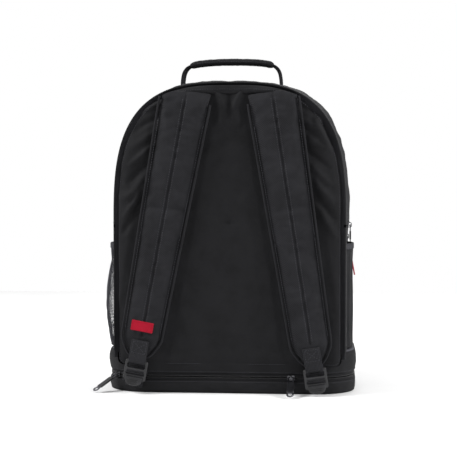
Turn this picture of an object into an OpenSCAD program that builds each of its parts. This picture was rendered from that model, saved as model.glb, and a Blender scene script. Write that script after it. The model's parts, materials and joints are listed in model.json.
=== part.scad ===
// Racket backpack: soft pack with a panel-opening main compartment, a front racket
// pocket, a zipped base compartment, two side pockets and a two-strap harness.
// The origin is the middle of the base's flat underside. The wearer's back is towards -Y.

/* [Pack] */
// Width of the main compartment
body_w = 344; // [320:1:360]
// Height of the crown above the ground
body_top = 460; // [440:1:480]
// Height at which the straight sides turn into the arch
arch_z = 250; // [240:1:270]
// Thickness of a sewn fabric wall
wall = 2.5; // [2:0.5:3]

/* [Base compartment] */
// Width of the base compartment
base_w = 372; // [366:1:380]
// Corner radius of the base compartment
base_r = 60; // [50:1:64]
// Height of the base compartment
base_h = 60; // [56:1:62]
// Height of the base zip
base_zip_z = 24; // [22:1:26]

/* [Front] */
// Width of the racket pocket
racket_w = 304; // [280:1:310]
// Height of the racket pocket's crown
racket_top = 418; // [390:1:425]
// Width of the flat accessory pocket
accessory_w = 210; // [180:1:220]

/* [Harness] */
// Width of a shoulder strap at the yoke
strap_top_w = 79; // [70:1:82]
// Width of a shoulder strap above its taper
strap_low_w = 64; // [58:1:68]
// Thickness of a shoulder strap
strap_t = 10; // [8:1:11]
// Width of the harness webbing
webbing_w = 26; // [24:1:27]
// Half the span of the carry handle
handle_half = 74; // [66:1:80]
// Height of the top of the handle grip
handle_top = 500; // [492:1:510]

/* [Hidden] */

// Depth positions, from the wearer's back towards the outside of the pack
back_y = -98;         // outer face of the back panel
cover_t = 1.5;        // back panel cover
foam_t = 9;           // back foam
lining_t = 1;         // back lining
zip_y = 58;           // middle of the main zip
front_y = 76;         // middle of the front wall's outer half
pocket_y = 112;       // outer face of the racket pocket
base_back_y = -94;
base_front_y = 98;
panel_z = 62;         // lowest edge of the main compartment
panel_back_z = 38;    // the back panel laps down over the base
gap = 0.6;            // clearance between bodies

// Zip chain: each half is a tape with a coil along its edge
chain_slit = 1.2;     // open space between the two coils
coil_w = 1.4;
coil_t = 2.2;
tape_t = 0.8;
tape_w = 5.4;

// Slider: two plates joined by a nose, with a bail for the pull
slider_l = 11;
slider_w = 7.6;
plate_t = 1.2;
plate_in = 1.5;       // from the chain's middle to a plate's inner face
bail_bar = 1.5;

// Main sliders stand one above the other on the right side
main_upper_z = 246;
main_lower_z = 228;
low_bail = 3.6;       // room under a normal bail
high_bail = 7.9;      // the upper pull hangs outside the lower one

// Harness: middle of each strap at the yoke and at its padded end
strap_top_z = 446;
left_top_x = -61;
left_end = [-134, 52];
right_top_x = 64;
right_end = [126, 43];
strap_back_y = back_y - gap - 2.6;
buckle_w = 34;
buckle_l = 27;
buckle_t = 3.6;
bar_r = 1.7;

$fn = 24;

function arch_point(w, top, a) =
    let (c = cos(a), s = sin(a))
    [w * sign(c) * pow(abs(c), 2 / 3), arch_z + (top - arch_z) * pow(abs(s), 2 / 3)];

function arch_outline(w, top, bottom, steps = 40) = concat(
    [[w, bottom]],
    [for (i = [0:steps]) arch_point(w, top, 180 * i / steps)],
    [[-w, bottom]]);

// Prism along Y between y0 and y1 of a shape drawn in the XZ plane
module slab(y0, y1) {
    translate([0, y1, 0]) rotate([90, 0, 0]) linear_extrude(y1 - y0) children();
}

module arch(w, top, bottom) { polygon(arch_outline(w, top, bottom)); }

// An arch-shaped ring, open along its bottom edge
module arch_ring(w, top, bottom, t) {
    difference() {
        arch(w, top, bottom);
        arch(w - t, top - t, bottom - 1);
    }
}

module round_rect(x0, x1, y0, y1, r) {
    translate([x0 + r, y0]) square([x1 - x0 - 2 * r, y1 - y0]);
    translate([x0, y0 + r]) square([x1 - x0, y1 - y0 - 2 * r]);
    for (x = [x0 + r, x1 - r], y = [y0 + r, y1 - r]) translate([x, y]) circle(r, $fn = 64);
}

module base_outline(inset = 0) {
    round_rect(-base_w / 2 + inset, base_w / 2 - inset, base_back_y + inset, base_front_y - inset,
        base_r - inset);
}

module base_ring(z0, z1, t, inset = 0) {
    translate([0, 0, z0]) linear_extrude(z1 - z0) difference() {
        base_outline(inset);
        base_outline(inset + t);
    }
}

// ---------------------------------------------------------------- pack shell

module back_panel_cover() {
    color("#1d1d1f") slab(back_y, back_y + cover_t) arch(body_w / 2 - 4, body_top - 4, panel_back_z);
}

module back_foam() {
    y = back_y + cover_t;
    color("#3a3a3a") slab(y, y + foam_t) arch(body_w / 2 - 5, body_top - 5, panel_z + 2);
}

module back_lining() {
    y = back_y + cover_t + foam_t;
    color("#2b2b2e") slab(y, y + lining_t) arch(body_w / 2 - 5, body_top - 5, panel_z + 2);
}

module back_piping() {
    color("#151515") slab(back_y - 1, back_y + 2.5) arch_ring(body_w / 2, body_top, panel_z, 3.9);
}

module yoke_panel() {
    color("#222224") slab(back_y - 2.2, back_y) intersection() {
        arch(body_w / 2 - 5, body_top - 5, panel_z);
        translate([-body_w / 2, strap_top_z + 2]) square([body_w, 30]);
    }
}

module side_panel(side) {
    x = side * (body_w / 2 - wall / 2);
    y0 = back_y + 3;
    y1 = zip_y - tape_w;
    translate([x - wall / 2, y0, panel_z]) cube([wall, y1 - y0, arch_z - panel_z]);
}

module left_side_panel() { color("#242427") side_panel(-1); }
module right_side_panel() { color("#242427") side_panel(1); }

module top_gusset() {
    color("#242427") slab(back_y + 3, zip_y - tape_w) intersection() {
        arch_ring(body_w / 2, body_top, arch_z - 1, wall);
        translate([-body_w / 2, arch_z]) square([body_w, body_top]);
    }
}

module divider_floor() {
    color("#2b2b2e") translate([0, 0, base_h]) linear_extrude(1.6) base_outline(1);
}

// One half of a main zip: coil nearest the middle of the chain, tape outside it
module arch_zip_half(y_mid, side, w, top, bottom) {
    y_coil = y_mid + side * chain_slit / 2;
    y_tape = y_coil + side * coil_w;
    y_end = y_mid + side * tape_w;
    x_mid = w - wall / 2;
    slab(min(y_coil, y_tape), max(y_coil, y_tape))
        arch_ring(x_mid + coil_t / 2, top - wall / 2 + coil_t / 2, bottom, coil_t);
    slab(min(y_tape, y_end), max(y_tape, y_end))
        arch_ring(x_mid + tape_t / 2, top - wall / 2 + tape_t / 2, bottom, tape_t);
}

module main_zip_rear() { color("#0f0f10") arch_zip_half(zip_y, -1, body_w / 2, body_top, panel_z + 3); }

// ---------------------------------------------------------------- side pockets

pocket_top = 212;
pocket_z = 64;
pocket_y0 = -62;
pocket_y1 = 40;

// A gusseted pocket on the side panel, open at its top
module open_pocket(side, bulge, t) {
    x0 = body_w / 2;
    x_out = x0 + bulge;
    mirror([side < 0 ? 1 : 0, 0, 0]) translate([0, 0, pocket_z]) linear_extrude(pocket_top - pocket_z)
        difference() {
            polygon([[x0, pocket_y0], [x_out, pocket_y0 + 22], [x_out, pocket_y1 - 22], [x0, pocket_y1]]);
            polygon([[x0, pocket_y0 + 2.5 * t], [x_out - t, pocket_y0 + 22 + t], [x_out - t, pocket_y1 - 22 - t],
                [x0, pocket_y1 - 2.5 * t]]);
        }
    mirror([side < 0 ? 1 : 0, 0, 0]) translate([0, 0, pocket_z]) linear_extrude(t)
        polygon([[x0, pocket_y0], [x_out, pocket_y0 + 22], [x_out, pocket_y1 - 22], [x0, pocket_y1]]);
}

module pocket_hem(side, bulge, t) {
    x0 = body_w / 2;
    x_out = x0 + bulge;
    mirror([side < 0 ? 1 : 0, 0, 0]) translate([0, 0, pocket_top]) linear_extrude(9) difference() {
        polygon([[x0, pocket_y0], [x_out, pocket_y0 + 22], [x_out, pocket_y1 - 22], [x0, pocket_y1]]);
        polygon([[x0, pocket_y0 + 2.5 * t], [x_out - t, pocket_y0 + 22 + t], [x_out - t, pocket_y1 - 22 - t],
            [x0, pocket_y1 - 2.5 * t]]);
    }
}

module mesh_pocket() { color("#1a1a1a") open_pocket(-1, 17, 1.2); }
module mesh_pocket_hem() { color("#2a2a2a") pocket_hem(-1, 17, 2); }
module side_pocket() { color("#232326") open_pocket(1, 12, 1.6); }
module side_pocket_hem() { color("#2a2a2a") pocket_hem(1, 12, 2); }

// ---------------------------------------------------------------- base compartment

module base_zip_half(side) {
    z_coil = base_zip_z + side * chain_slit / 2;
    z_tape = z_coil + side * coil_w;
    z_end = base_zip_z + side * tape_w;
    mid = wall / 2;
    base_ring(min(z_coil, z_tape), max(z_coil, z_tape), coil_t, mid - coil_t / 2);
    base_ring(min(z_tape, z_end), max(z_tape, z_end), tape_t, mid - tape_t / 2);
}

module base_upper_band() { color("#262629") base_ring(base_zip_z + tape_w, base_h, wall); }
module base_zip_upper() { color("#0f0f10") base_zip_half(1); }
module base_bottom_panel() { color("#1c1c1e") linear_extrude(1.5) base_outline(); }
module base_board() { color("#101012") translate([0, 0, 1.5]) linear_extrude(2) base_outline(6); }
module base_lower_band() { color("#262629") base_ring(1.5, base_zip_z - tape_w, wall); }
module base_zip_lower() { color("#0f0f10") base_zip_half(-1); }

// ---------------------------------------------------------------- front

front_z = panel_z + 4;

module front_wall() {
    color("#242427") slab(front_y - wall, front_y) arch(body_w / 2 - wall - 0.1, body_top - wall - 0.1, front_z);
}

module front_gusset() {
    color("#242427") slab(zip_y + tape_w, front_y) arch_ring(body_w / 2, body_top, front_z, wall);
}

module main_zip_front() { color("#0f0f10") arch_zip_half(zip_y, 1, body_w / 2, body_top, panel_z + 3); }

racket_zip_y = front_y + tape_w + 0.2;
racket_z = front_z + 4;

module racket_zip_half(side) {
    y_coil = racket_zip_y + side * chain_slit / 2;
    y_tape = y_coil + side * coil_w;
    y_end = racket_zip_y + side * tape_w;
    x_mid = racket_w / 2 - wall / 2;
    top = racket_top - wall / 2;
    slab(min(y_coil, y_tape), max(y_coil, y_tape)) arch_ring(x_mid + coil_t / 2, top + coil_t / 2, racket_z, coil_t);
    slab(min(y_tape, y_end), max(y_tape, y_end)) arch_ring(x_mid + tape_t / 2, top + tape_t / 2, racket_z, tape_t);
}

module racket_zip_rear() { color("#0f0f10") racket_zip_half(-1); }
module racket_zip_front() { color("#0f0f10") racket_zip_half(1); }

module racket_pocket_cover() {
    y0 = racket_zip_y + tape_w;
    color("#242427") {
        slab(y0, pocket_y) arch_ring(racket_w / 2, racket_top, racket_z, wall);
        slab(pocket_y - wall, pocket_y) arch(racket_w / 2 - 1, racket_top - 1, racket_z);
        translate([-racket_w / 2 + 1, y0, racket_z]) cube([racket_w - 2, pocket_y - y0, wall]);
    }
}

module racket_padding() {
    color("#3a3a3a") slab(pocket_y - wall - 4, pocket_y - wall) arch(racket_w / 2 - 8, racket_top - 8, racket_z + 6);
}

accessory_z = 96;
accessory_top = 236;
accessory_t = 3;

module accessory_pocket() {
    color("#262629") slab(pocket_y, pocket_y + accessory_t) translate([0, accessory_z])
        round_rect(-accessory_w / 2, accessory_w / 2, 0, accessory_top - accessory_z, 24);
}

accessory_zip_z = accessory_top - 26;

module accessory_zip() {
    w = accessory_w - 36;
    y = pocket_y + accessory_t;
    color("#0f0f10") {
        translate([-w / 2, y, accessory_zip_z - tape_w]) cube([w, tape_t, 2 * tape_w]);
        for (s = [-1, 1]) translate([-w / 2, y + tape_t, accessory_zip_z + s * (chain_slit + coil_w) / 2 - coil_w / 2])
            cube([w, 1.2, coil_w]);
    }
}

// ---------------------------------------------------------------- carry handle

handle_y = -38;
handle_pivot_z = 467;
handle_leg_t = 3;
handle_leg_w = 16;

module handle_feet() {
    color("#1b1b1b") for (s = [-1, 1])
        translate([s * handle_half - 7, handle_y - handle_leg_w / 2, 453.4]) cube([14, handle_leg_w, 4]);
}

module carry_handle_webbing() {
    color("#1b1b1b") for (s = [-1, 1]) translate([s * handle_half - handle_leg_t / 2, handle_y, 0])
        rotate([0, 90, 0]) linear_extrude(handle_leg_t) {
            translate([-handle_pivot_z, 0]) circle(handle_leg_w / 2);
            translate([-488, -handle_leg_w / 2]) square([488 - handle_pivot_z, handle_leg_w]);
        }
}

grip_h = 9;
grip_drop = 8;
grip_rise = 4;

// The grip bows up between the two legs, on a wide arc
module carry_handle_grip() {
    half = handle_half + handle_leg_t / 2;
    r = (half * half + grip_drop * grip_drop) / (2 * grip_drop);
    color("#1e1e1e") slab(handle_y - 11, handle_y + 11) intersection() {
        translate([0, handle_top - r]) difference() {
            circle(r, $fn = 180);
            circle(r - grip_h, $fn = 180);
        }
        translate([-half, handle_top - grip_drop - grip_h - 1]) square([2 * half, grip_drop + grip_h + 2]);
    }
}

// ---------------------------------------------------------------- shoulder straps

function strap_tilt(top_x, end) = atan2(top_x - end[0], strap_top_z - end[1]);
function strap_length(top_x, end) = norm([top_x - end[0], strap_top_z - end[1]]);

// Local frame of a strap: origin in the middle of its padded end, +Z up along the strap
module on_strap(top_x, end) {
    translate([end[0], strap_back_y, end[1]]) rotate([0, strap_tilt(top_x, end), 0]) children();
}

module strap_shape(len, inset) {
    polygon([[-20 + inset, inset], [20 - inset, inset], [strap_low_w / 2 - inset, 34],
        [strap_top_w / 2 - inset, len - 30], [strap_top_w / 2 - inset, len + 20],
        [-strap_top_w / 2 + inset, len + 20], [-strap_top_w / 2 + inset, len - 30],
        [-strap_low_w / 2 + inset, 34]]);
}

module below_yoke() {
    translate([-200, -strap_t - 1, -20]) cube([400, strap_t + 2, strap_top_z + 20]);
}

module strap_cover(top_x, end) {
    len = strap_length(top_x, end);
    difference() {
        intersection() {
            on_strap(top_x, end) slab(-strap_t, 0) strap_shape(len, 0);
            translate([0, strap_back_y, 0]) below_yoke();
        }
        strap_core(top_x, end);
    }
}

module strap_core(top_x, end) {
    len = strap_length(top_x, end);
    intersection() {
        on_strap(top_x, end) slab(-strap_t + 1.5, -1.5) strap_shape(len, 5);
        translate([0, strap_back_y, -5]) below_yoke();
    }
}

loop_z = -4.2;        // the buckle's top bar, below the padded end
loop_out = 3.4;
loop_t = 1.4;
loop_y = -strap_t - loop_t + loop_out;

// Webbing sewn on the strap's face, round the buckle's top bar
module strap_loop(top_x, end) {
    on_strap(top_x, end) {
        difference() {
            union() {
                translate([-webbing_w / 2, loop_y, loop_z]) rotate([0, 90, 0]) cylinder(r = loop_out, h = webbing_w);
                translate([-webbing_w / 2, -strap_t - loop_t, loop_z]) cube([webbing_w, loop_t, 32]);
            }
            translate([-webbing_w / 2 - 1, loop_y, loop_z]) rotate([0, 90, 0])
                cylinder(r = bar_r + 0.3, h = webbing_w + 2);
        }
    }
}

tail_tuck = 110;      // how far the tail reaches up behind the strap

// The tail comes down behind the thumb tab, turns and is tucked up behind the strap
module webbing_tail(top_x, end, drop) {
    on_strap(top_x, end) {
        translate([-webbing_w / 2, 0.3, -drop]) cube([webbing_w, 1, drop + tail_tuck]);
    }
}

// Ladder lock: side rails, top bar, two lower bars and a rounded thumb tab
module ladder_lock(top_x, end) {
    rail_w = 3;
    on_strap(top_x, end) translate([0, loop_y, loop_z]) {
        rotate([0, 90, 0]) translate([0, 0, -buckle_w / 2]) cylinder(r = bar_r, h = buckle_w);
        for (s = [-1, 1]) translate([s * (buckle_w - rail_w) / 2 - rail_w / 2, -buckle_t / 2, -buckle_l])
            cube([rail_w, buckle_t, buckle_l + bar_r]);
        for (z = [-buckle_l * 0.52, -buckle_l * 0.84])
            translate([-buckle_w / 2, -buckle_t / 2, z - 1.6]) cube([buckle_w, buckle_t, 3.2]);
        slab(-buckle_t / 2 - 0.8, buckle_t / 2 - 1.6) intersection() {
            translate([0, -buckle_l + 7]) circle(15);
            translate([-12, -buckle_l - 8]) square([24, 13]);
        }
    }
}

module lower_webbing(end) {
    translate([end[0] - webbing_w / 2, back_y - 1.3, 30]) cube([webbing_w, 1.2, 12]);
    translate([end[0] - webbing_w / 2, back_y - 0.2, 30]) cube([webbing_w, 4.1, 1.4]);
}

module left_strap_cover() { color("#202022") strap_cover(left_top_x, left_end); }
module left_strap_foam() { color("#4a4a4a") strap_core(left_top_x, left_end); }
module left_strap_loop() { color("#161616") strap_loop(left_top_x, left_end); }
module left_webbing_tail() { color("#161616") webbing_tail(left_top_x, left_end, 44); }
module left_ladder_lock() { color("#191919") ladder_lock(left_top_x, left_end); }
module left_lower_webbing() { color("#161616") lower_webbing(left_end); }
module right_strap_cover() { color("#202022") strap_cover(right_top_x, right_end); }
module right_strap_foam() { color("#4a4a4a") strap_core(right_top_x, right_end); }
module right_strap_loop() { color("#161616") strap_loop(right_top_x, right_end); }
module right_webbing_tail() { color("#161616") webbing_tail(right_top_x, right_end, 36); }
module right_ladder_lock() { color("#191919") ladder_lock(right_top_x, right_end); }
module right_lower_webbing() { color("#161616") lower_webbing(right_end); }

module left_strap_label() {
    color("#b0102c") on_strap(left_top_x, left_end)
        translate([-17, -strap_t - 0.7, 42]) cube([34, 0.7, 15]);
}

// ---------------------------------------------------------------- sliders and pulls

// Slider for a chain along local Z whose outside is towards local +X. The bail stands on the outer plate:
// along the travel where across is false, across it where across is true.
module slider(bail_room, across = false) {
    half_span = across ? 2.9 : 3.6;
    for (s = [-1, 1]) {
        x = s > 0 ? plate_in : -plate_in - plate_t;
        translate([x, -slider_w / 2, -slider_l / 2]) cube([plate_t, slider_w, slider_l]);
    }
    translate([-plate_in - 0.1, -0.4, slider_l / 2 - 3]) cube([2 * plate_in + 0.2, 0.8, 3]);
    rotate([across ? 90 : 0, 0, 0]) translate([plate_in + plate_t, 0, 0]) {
        for (s = [-1, 1]) translate([-0.2, -1, s * half_span - 0.8]) cube([bail_room + bail_bar + 0.2, 2, 1.6]);
        translate([bail_room, -1, -half_span - 0.8]) cube([bail_bar, 2, 2 * half_span + 1.6]);
    }
}

pull_bar_r = 0.9;
pull_w = 9.4;
pull_t = 1.8;

// Pull hanging towards -Z from its cross bar, which lies along Y: a window, a body and a ring end
module pull(len) {
    rotate([90, 0, 0]) translate([0, 0, -pull_w / 2]) cylinder(r = pull_bar_r, h = pull_w);
    for (s = [-1, 1]) translate([-pull_t / 2, s * (pull_w / 2 - 0.9) - 0.9, -12]) cube([pull_t, 1.8, 12]);
    translate([-pull_t / 2, -pull_w / 2, -len + 8]) cube([pull_t, pull_w, len - 8 - 11]);
    translate([-pull_t / 2, 0, -len + 5.4]) rotate([0, 90, 0]) difference() {
        linear_extrude(pull_t) union() {
            circle(5.4);
            translate([-4, -pull_w / 2]) square([4, pull_w]);
        }
        translate([0, 0, -1]) cylinder(r = 3.1, h = pull_t + 2);
    }
}

main_x = body_w / 2 - wall / 2;
bail_x = plate_in + plate_t;

module at_main(z) { translate([main_x, zip_y, z]) children(); }

pull_len = 34;
tag_len = 42;

module main_pull(z, room) {
    at_main(z) translate([bail_x + room - pull_bar_r - 0.3, 0, 0]) pull(pull_len);
}

module main_tag(z, room) {
    at_main(z) translate([bail_x + room - pull_bar_r - 0.3, 0, -pull_len]) {
        translate([-0.6, -1.6, -4]) cube([1.2, 3.2, 10]);
        translate([-1.1, -6, -4 - tag_len]) cube([2.2, 12, tag_len]);
    }
}

module main_slider_upper() { color("#8c8c90") at_main(main_upper_z) slider(high_bail); }
module main_pull_upper() { color("#3a3a3c") main_pull(main_upper_z, high_bail); }
module main_tag_upper() { color("#7a1626") main_tag(main_upper_z, high_bail); }
module main_slider_lower() { color("#8c8c90") at_main(main_lower_z) slider(low_bail); }
module main_pull_lower() { color("#3a3a3c") main_pull(main_lower_z, low_bail); }
module main_tag_lower() { color("#7a1626") main_tag(main_lower_z, low_bail); }

// Base sliders: a frame whose local X points out of the pack and whose local Z follows the zip
module facing_back() { rotate([-90, 0, 0]) rotate([0, 90, 0]) children(); }

base_slider_x = 92;
corner_angle = 45;
base_pull_len = 46;
base_pull_drop = 27;  // degrees below the horizontal, with its tip just off the ground
corner_centre = [-base_w / 2 + base_r, base_back_y + base_r];

module at_corner() {
    translate([corner_centre[0], corner_centre[1], base_zip_z]) rotate([0, 0, -corner_angle])
        translate([0, -base_r + wall / 2, 0]) children();
}

module at_base_right() { translate([base_slider_x, base_back_y + wall / 2, base_zip_z]) children(); }

module base_pull() {
    translate([0, -bail_x - low_bail + pull_bar_r + 0.3, 0]) rotate([base_pull_drop - 90, 0, 0])
        rotate([0, 0, 90]) pull(base_pull_len);
}

module base_slider_left() { color("#8c8c90") at_corner() facing_back() slider(low_bail, true); }
module base_pull_left() { color("#2a2a2c") at_corner() base_pull(); }
module base_slider_right() { color("#8c8c90") at_base_right() facing_back() slider(low_bail, true); }
module base_pull_right() { color("#2a2a2c") at_base_right() base_pull(); }

// Racket pocket slider, on the straight stretch of the pocket's right side
racket_slider_z = 236;

module at_racket() { translate([racket_w / 2 - wall / 2, racket_zip_y, racket_slider_z]) children(); }
module racket_slider() { color("#8c8c90") at_racket() slider(low_bail); }
module racket_pull() {
    color("#2a2a2c") at_racket() translate([bail_x + low_bail - pull_bar_r - 0.3, 0, 0]) pull(pull_len);
}

// Accessory pocket slider: only its outer plate shows over the flat chain
accessory_slider_x = -74;

module accessory_slider() {
    y = pocket_y + accessory_t + tape_t + 1.2 + 0.3;
    color("#8c8c90") translate([accessory_slider_x, y, accessory_zip_z]) {
        translate([-slider_l / 2, 0, -slider_w / 2]) cube([slider_l, plate_t, slider_w]);
        for (s = [-1, 1]) translate([-1, plate_t - 0.2, s * 2.9 - 0.8]) cube([2, low_bail + bail_bar + 0.2, 1.6]);
        translate([-1, plate_t + low_bail, -3.7]) cube([2, bail_bar, 7.4]);
    }
}

module accessory_pull() {
    y = pocket_y + accessory_t + tape_t + 1.2 + 0.3 + plate_t + low_bail - pull_bar_r - 0.3;
    color("#2a2a2c") translate([accessory_slider_x, y, accessory_zip_z]) rotate([0, 0, 90]) pull(pull_len);
}

back_panel_cover();
back_foam();
back_lining();
back_piping();
yoke_panel();
left_side_panel();
right_side_panel();
top_gusset();
divider_floor();
main_zip_rear();
mesh_pocket();
mesh_pocket_hem();
side_pocket();
side_pocket_hem();
base_upper_band();
base_zip_upper();
handle_feet();
left_lower_webbing();
right_lower_webbing();
base_bottom_panel();
base_board();
base_lower_band();
base_zip_lower();
front_wall();
front_gusset();
main_zip_front();
racket_zip_rear();
racket_pocket_cover();
racket_padding();
racket_zip_front();
accessory_pocket();
accessory_zip();
carry_handle_webbing();
carry_handle_grip();
left_strap_cover();
left_strap_foam();
left_strap_loop();
left_webbing_tail();
left_strap_label();
left_ladder_lock();
right_strap_cover();
right_strap_foam();
right_strap_loop();
right_webbing_tail();
right_ladder_lock();
main_slider_upper();
main_pull_upper();
main_tag_upper();
main_slider_lower();
main_pull_lower();
main_tag_lower();
base_slider_left();
base_pull_left();
base_slider_right();
base_pull_right();
racket_slider();
racket_pull();
accessory_slider();
accessory_pull();
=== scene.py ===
"""Looks of a soft racket backpack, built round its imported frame.

Each sub-assembly is a class: its sizes are its fields, and its methods build and dress its pieces.
Lengths are metres, +Z is up and the wearer's back is towards -Y.
"""

import json
import logging
import math
from dataclasses import dataclass
from enum import Enum
from functools import lru_cache
from typing import Callable, Optional, Sequence

import bmesh
import bpy
from bpy.types import ID, Material, Mesh, Modifier, Node, NodeSocket, NodeTree, Object
from mathutils import Matrix, Vector, noise

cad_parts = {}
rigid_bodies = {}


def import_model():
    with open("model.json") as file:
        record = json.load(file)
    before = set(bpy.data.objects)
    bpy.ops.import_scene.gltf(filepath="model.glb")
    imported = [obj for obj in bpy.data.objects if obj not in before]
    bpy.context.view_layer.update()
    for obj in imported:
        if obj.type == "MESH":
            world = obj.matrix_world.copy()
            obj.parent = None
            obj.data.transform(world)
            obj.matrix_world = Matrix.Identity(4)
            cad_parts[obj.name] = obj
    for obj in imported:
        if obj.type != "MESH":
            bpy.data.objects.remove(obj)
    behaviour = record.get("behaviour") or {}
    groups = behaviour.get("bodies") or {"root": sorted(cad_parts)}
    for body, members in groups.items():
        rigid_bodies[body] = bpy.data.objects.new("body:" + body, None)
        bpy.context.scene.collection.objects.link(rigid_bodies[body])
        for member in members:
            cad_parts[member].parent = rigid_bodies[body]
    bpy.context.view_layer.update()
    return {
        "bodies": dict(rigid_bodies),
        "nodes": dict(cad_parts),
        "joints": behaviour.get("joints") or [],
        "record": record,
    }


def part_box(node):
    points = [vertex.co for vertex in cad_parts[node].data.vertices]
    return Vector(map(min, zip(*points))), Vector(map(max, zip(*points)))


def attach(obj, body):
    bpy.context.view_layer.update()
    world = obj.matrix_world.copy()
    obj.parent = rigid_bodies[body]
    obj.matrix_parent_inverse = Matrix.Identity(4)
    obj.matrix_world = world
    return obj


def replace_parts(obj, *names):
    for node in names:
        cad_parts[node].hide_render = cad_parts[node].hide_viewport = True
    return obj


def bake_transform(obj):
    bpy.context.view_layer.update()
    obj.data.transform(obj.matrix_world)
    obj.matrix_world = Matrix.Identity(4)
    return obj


LOG = logging.getLogger("racket_backpack")
MM = 0.001
RIGHT, DEEP, UP = Vector((1, 0, 0)), Vector((0, 1, 0)), Vector((0, 0, 1))
UPRIGHT = Matrix(((0, 0, 1, 0), (1, 0, 0, 0), (0, 1, 0, 0), (0, 0, 0, 1)))

Profile = Sequence[tuple[float, float]]
Section = Callable[[float, Vector], list[tuple[float, float]]]
Relief = Callable[[Vector], float]



def clamp(value: float) -> float:
    """Holds a value between 0 and 1."""
    return max(0.0, min(1.0, value))


def move(x: float, y: float, z: float) -> Matrix:
    """Gives the matrix of a move."""
    return Matrix.Translation((x, y, z))


def turn(degrees: float, axis: str) -> Matrix:
    """Gives the matrix of a turn about an axis."""
    return Matrix.Rotation(math.radians(degrees), 4, axis)


def applied(item: Object) -> Mesh:
    """Gives an object's mesh as its modifiers leave it."""
    return bpy.data.meshes.new_from_object(item.evaluated_get(bpy.context.evaluated_depsgraph_get()))


def bell(value: float, width: float, power: int = 2) -> float:
    """Gives a smooth hump: 1 at nought, fading to nothing past its width."""
    return math.exp(-(value / width) ** power)


def link(name: str, data: ID) -> Object:
    """Makes an object of a mesh, a curve or another block, and puts it in the scene."""
    item = bpy.data.objects.new(name, data)
    bpy.context.scene.collection.objects.link(item)
    return item


# ------------------------------------------------------------------ named options

class Side(Enum):
    """Side of the pack, as the wearer's back sees it."""

    LEFT = -1
    RIGHT = 1


class Weave(Enum):
    """How a cloth is woven."""

    PLAIN = "plain"
    TWILL = "twill"
    RIBBED = "ribbed"
    RIPSTOP = "ripstop"


class Follow(Enum):
    """What a pattern follows."""

    SURFACE = "UV"
    SPACE = "Object"


# ------------------------------------------------------------------ finishes

def to_linear(hex_colour: str) -> tuple[float, float, float, float]:
    """Turns an sRGB colour into the linear values that a shader takes.

    Args:
        hex_colour: six hexadecimal digits.

    Returns:
        Red, green, blue and alpha.
    """
    parts = [int(hex_colour[i:i + 2], 16) / 255 for i in (0, 2, 4)]
    return (*[p / 12.92 if p <= 0.04045 else ((p + 0.055) / 1.055) ** 2.4 for p in parts], 1.0)


def add(tree: NodeTree, kind: str, settings: dict, wires: Optional[dict] = None) -> Node:
    """Adds one node.

    Args:
        tree: the tree it goes in.
        kind: its type.
        settings: values for its properties and its unlinked inputs.
        wires: the output that feeds each input.

    Returns:
        The node.
    """
    node = tree.nodes.new(kind)
    for key, value in settings.items():
        if isinstance(key, int) or key in node.inputs:
            node.inputs[key].default_value = value
        else:
            setattr(node, key, value)
    for key, source in (wires or {}).items():
        tree.links.new(source, node.inputs[key])
    return node


def new_material(name: str) -> tuple[Material, NodeTree, Node]:
    """Makes an empty material.

    Args:
        name: the material's name.

    Returns:
        The material, its tree and its shader.
    """
    material = bpy.data.materials.new(name)
    material.use_nodes = True
    tree = material.node_tree
    tree.nodes.clear()
    shader = add(tree, "ShaderNodeBsdfPrincipled", {})
    add(tree, "ShaderNodeOutputMaterial", {}, {"Surface": shader.outputs[0]})
    return material, tree, shader


def paint(tree: NodeTree, shader: Node, tones: tuple[str, str], span: tuple[float, float],
          mix: NodeSocket, uneven: NodeSocket, rough: tuple[float, float],
          relief: tuple[float, float, NodeSocket]) -> None:
    """Wires a finish's colour, roughness and bump to its shader.

    Args:
        tree: the material's tree.
        shader: its shader.
        tones: the dark and the light colour.
        span: where on the ramp the two colours lie.
        mix: picks the colour.
        uneven: varies the roughness.
        rough: the least and the greatest roughness.
        relief: the bump's strength, distance and height.
    """
    ramp = add(tree, "ShaderNodeValToRGB", {}, {"Fac": mix})
    for element, position, tone in zip(ramp.color_ramp.elements, span, tones):
        element.position, element.color = position, to_linear(tone)
    gloss = add(tree, "ShaderNodeMapRange", {"To Min": rough[0], "To Max": rough[1]}, {"Value": uneven})
    strength, distance, height = relief
    bump = add(tree, "ShaderNodeBump", {"Strength": strength, "Distance": distance}, {"Height": height})
    for source, name in ((ramp, "Base Color"), (gloss, "Roughness"), (bump, "Normal")):
        tree.links.new(source.outputs[0], shader.inputs[name])


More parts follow.
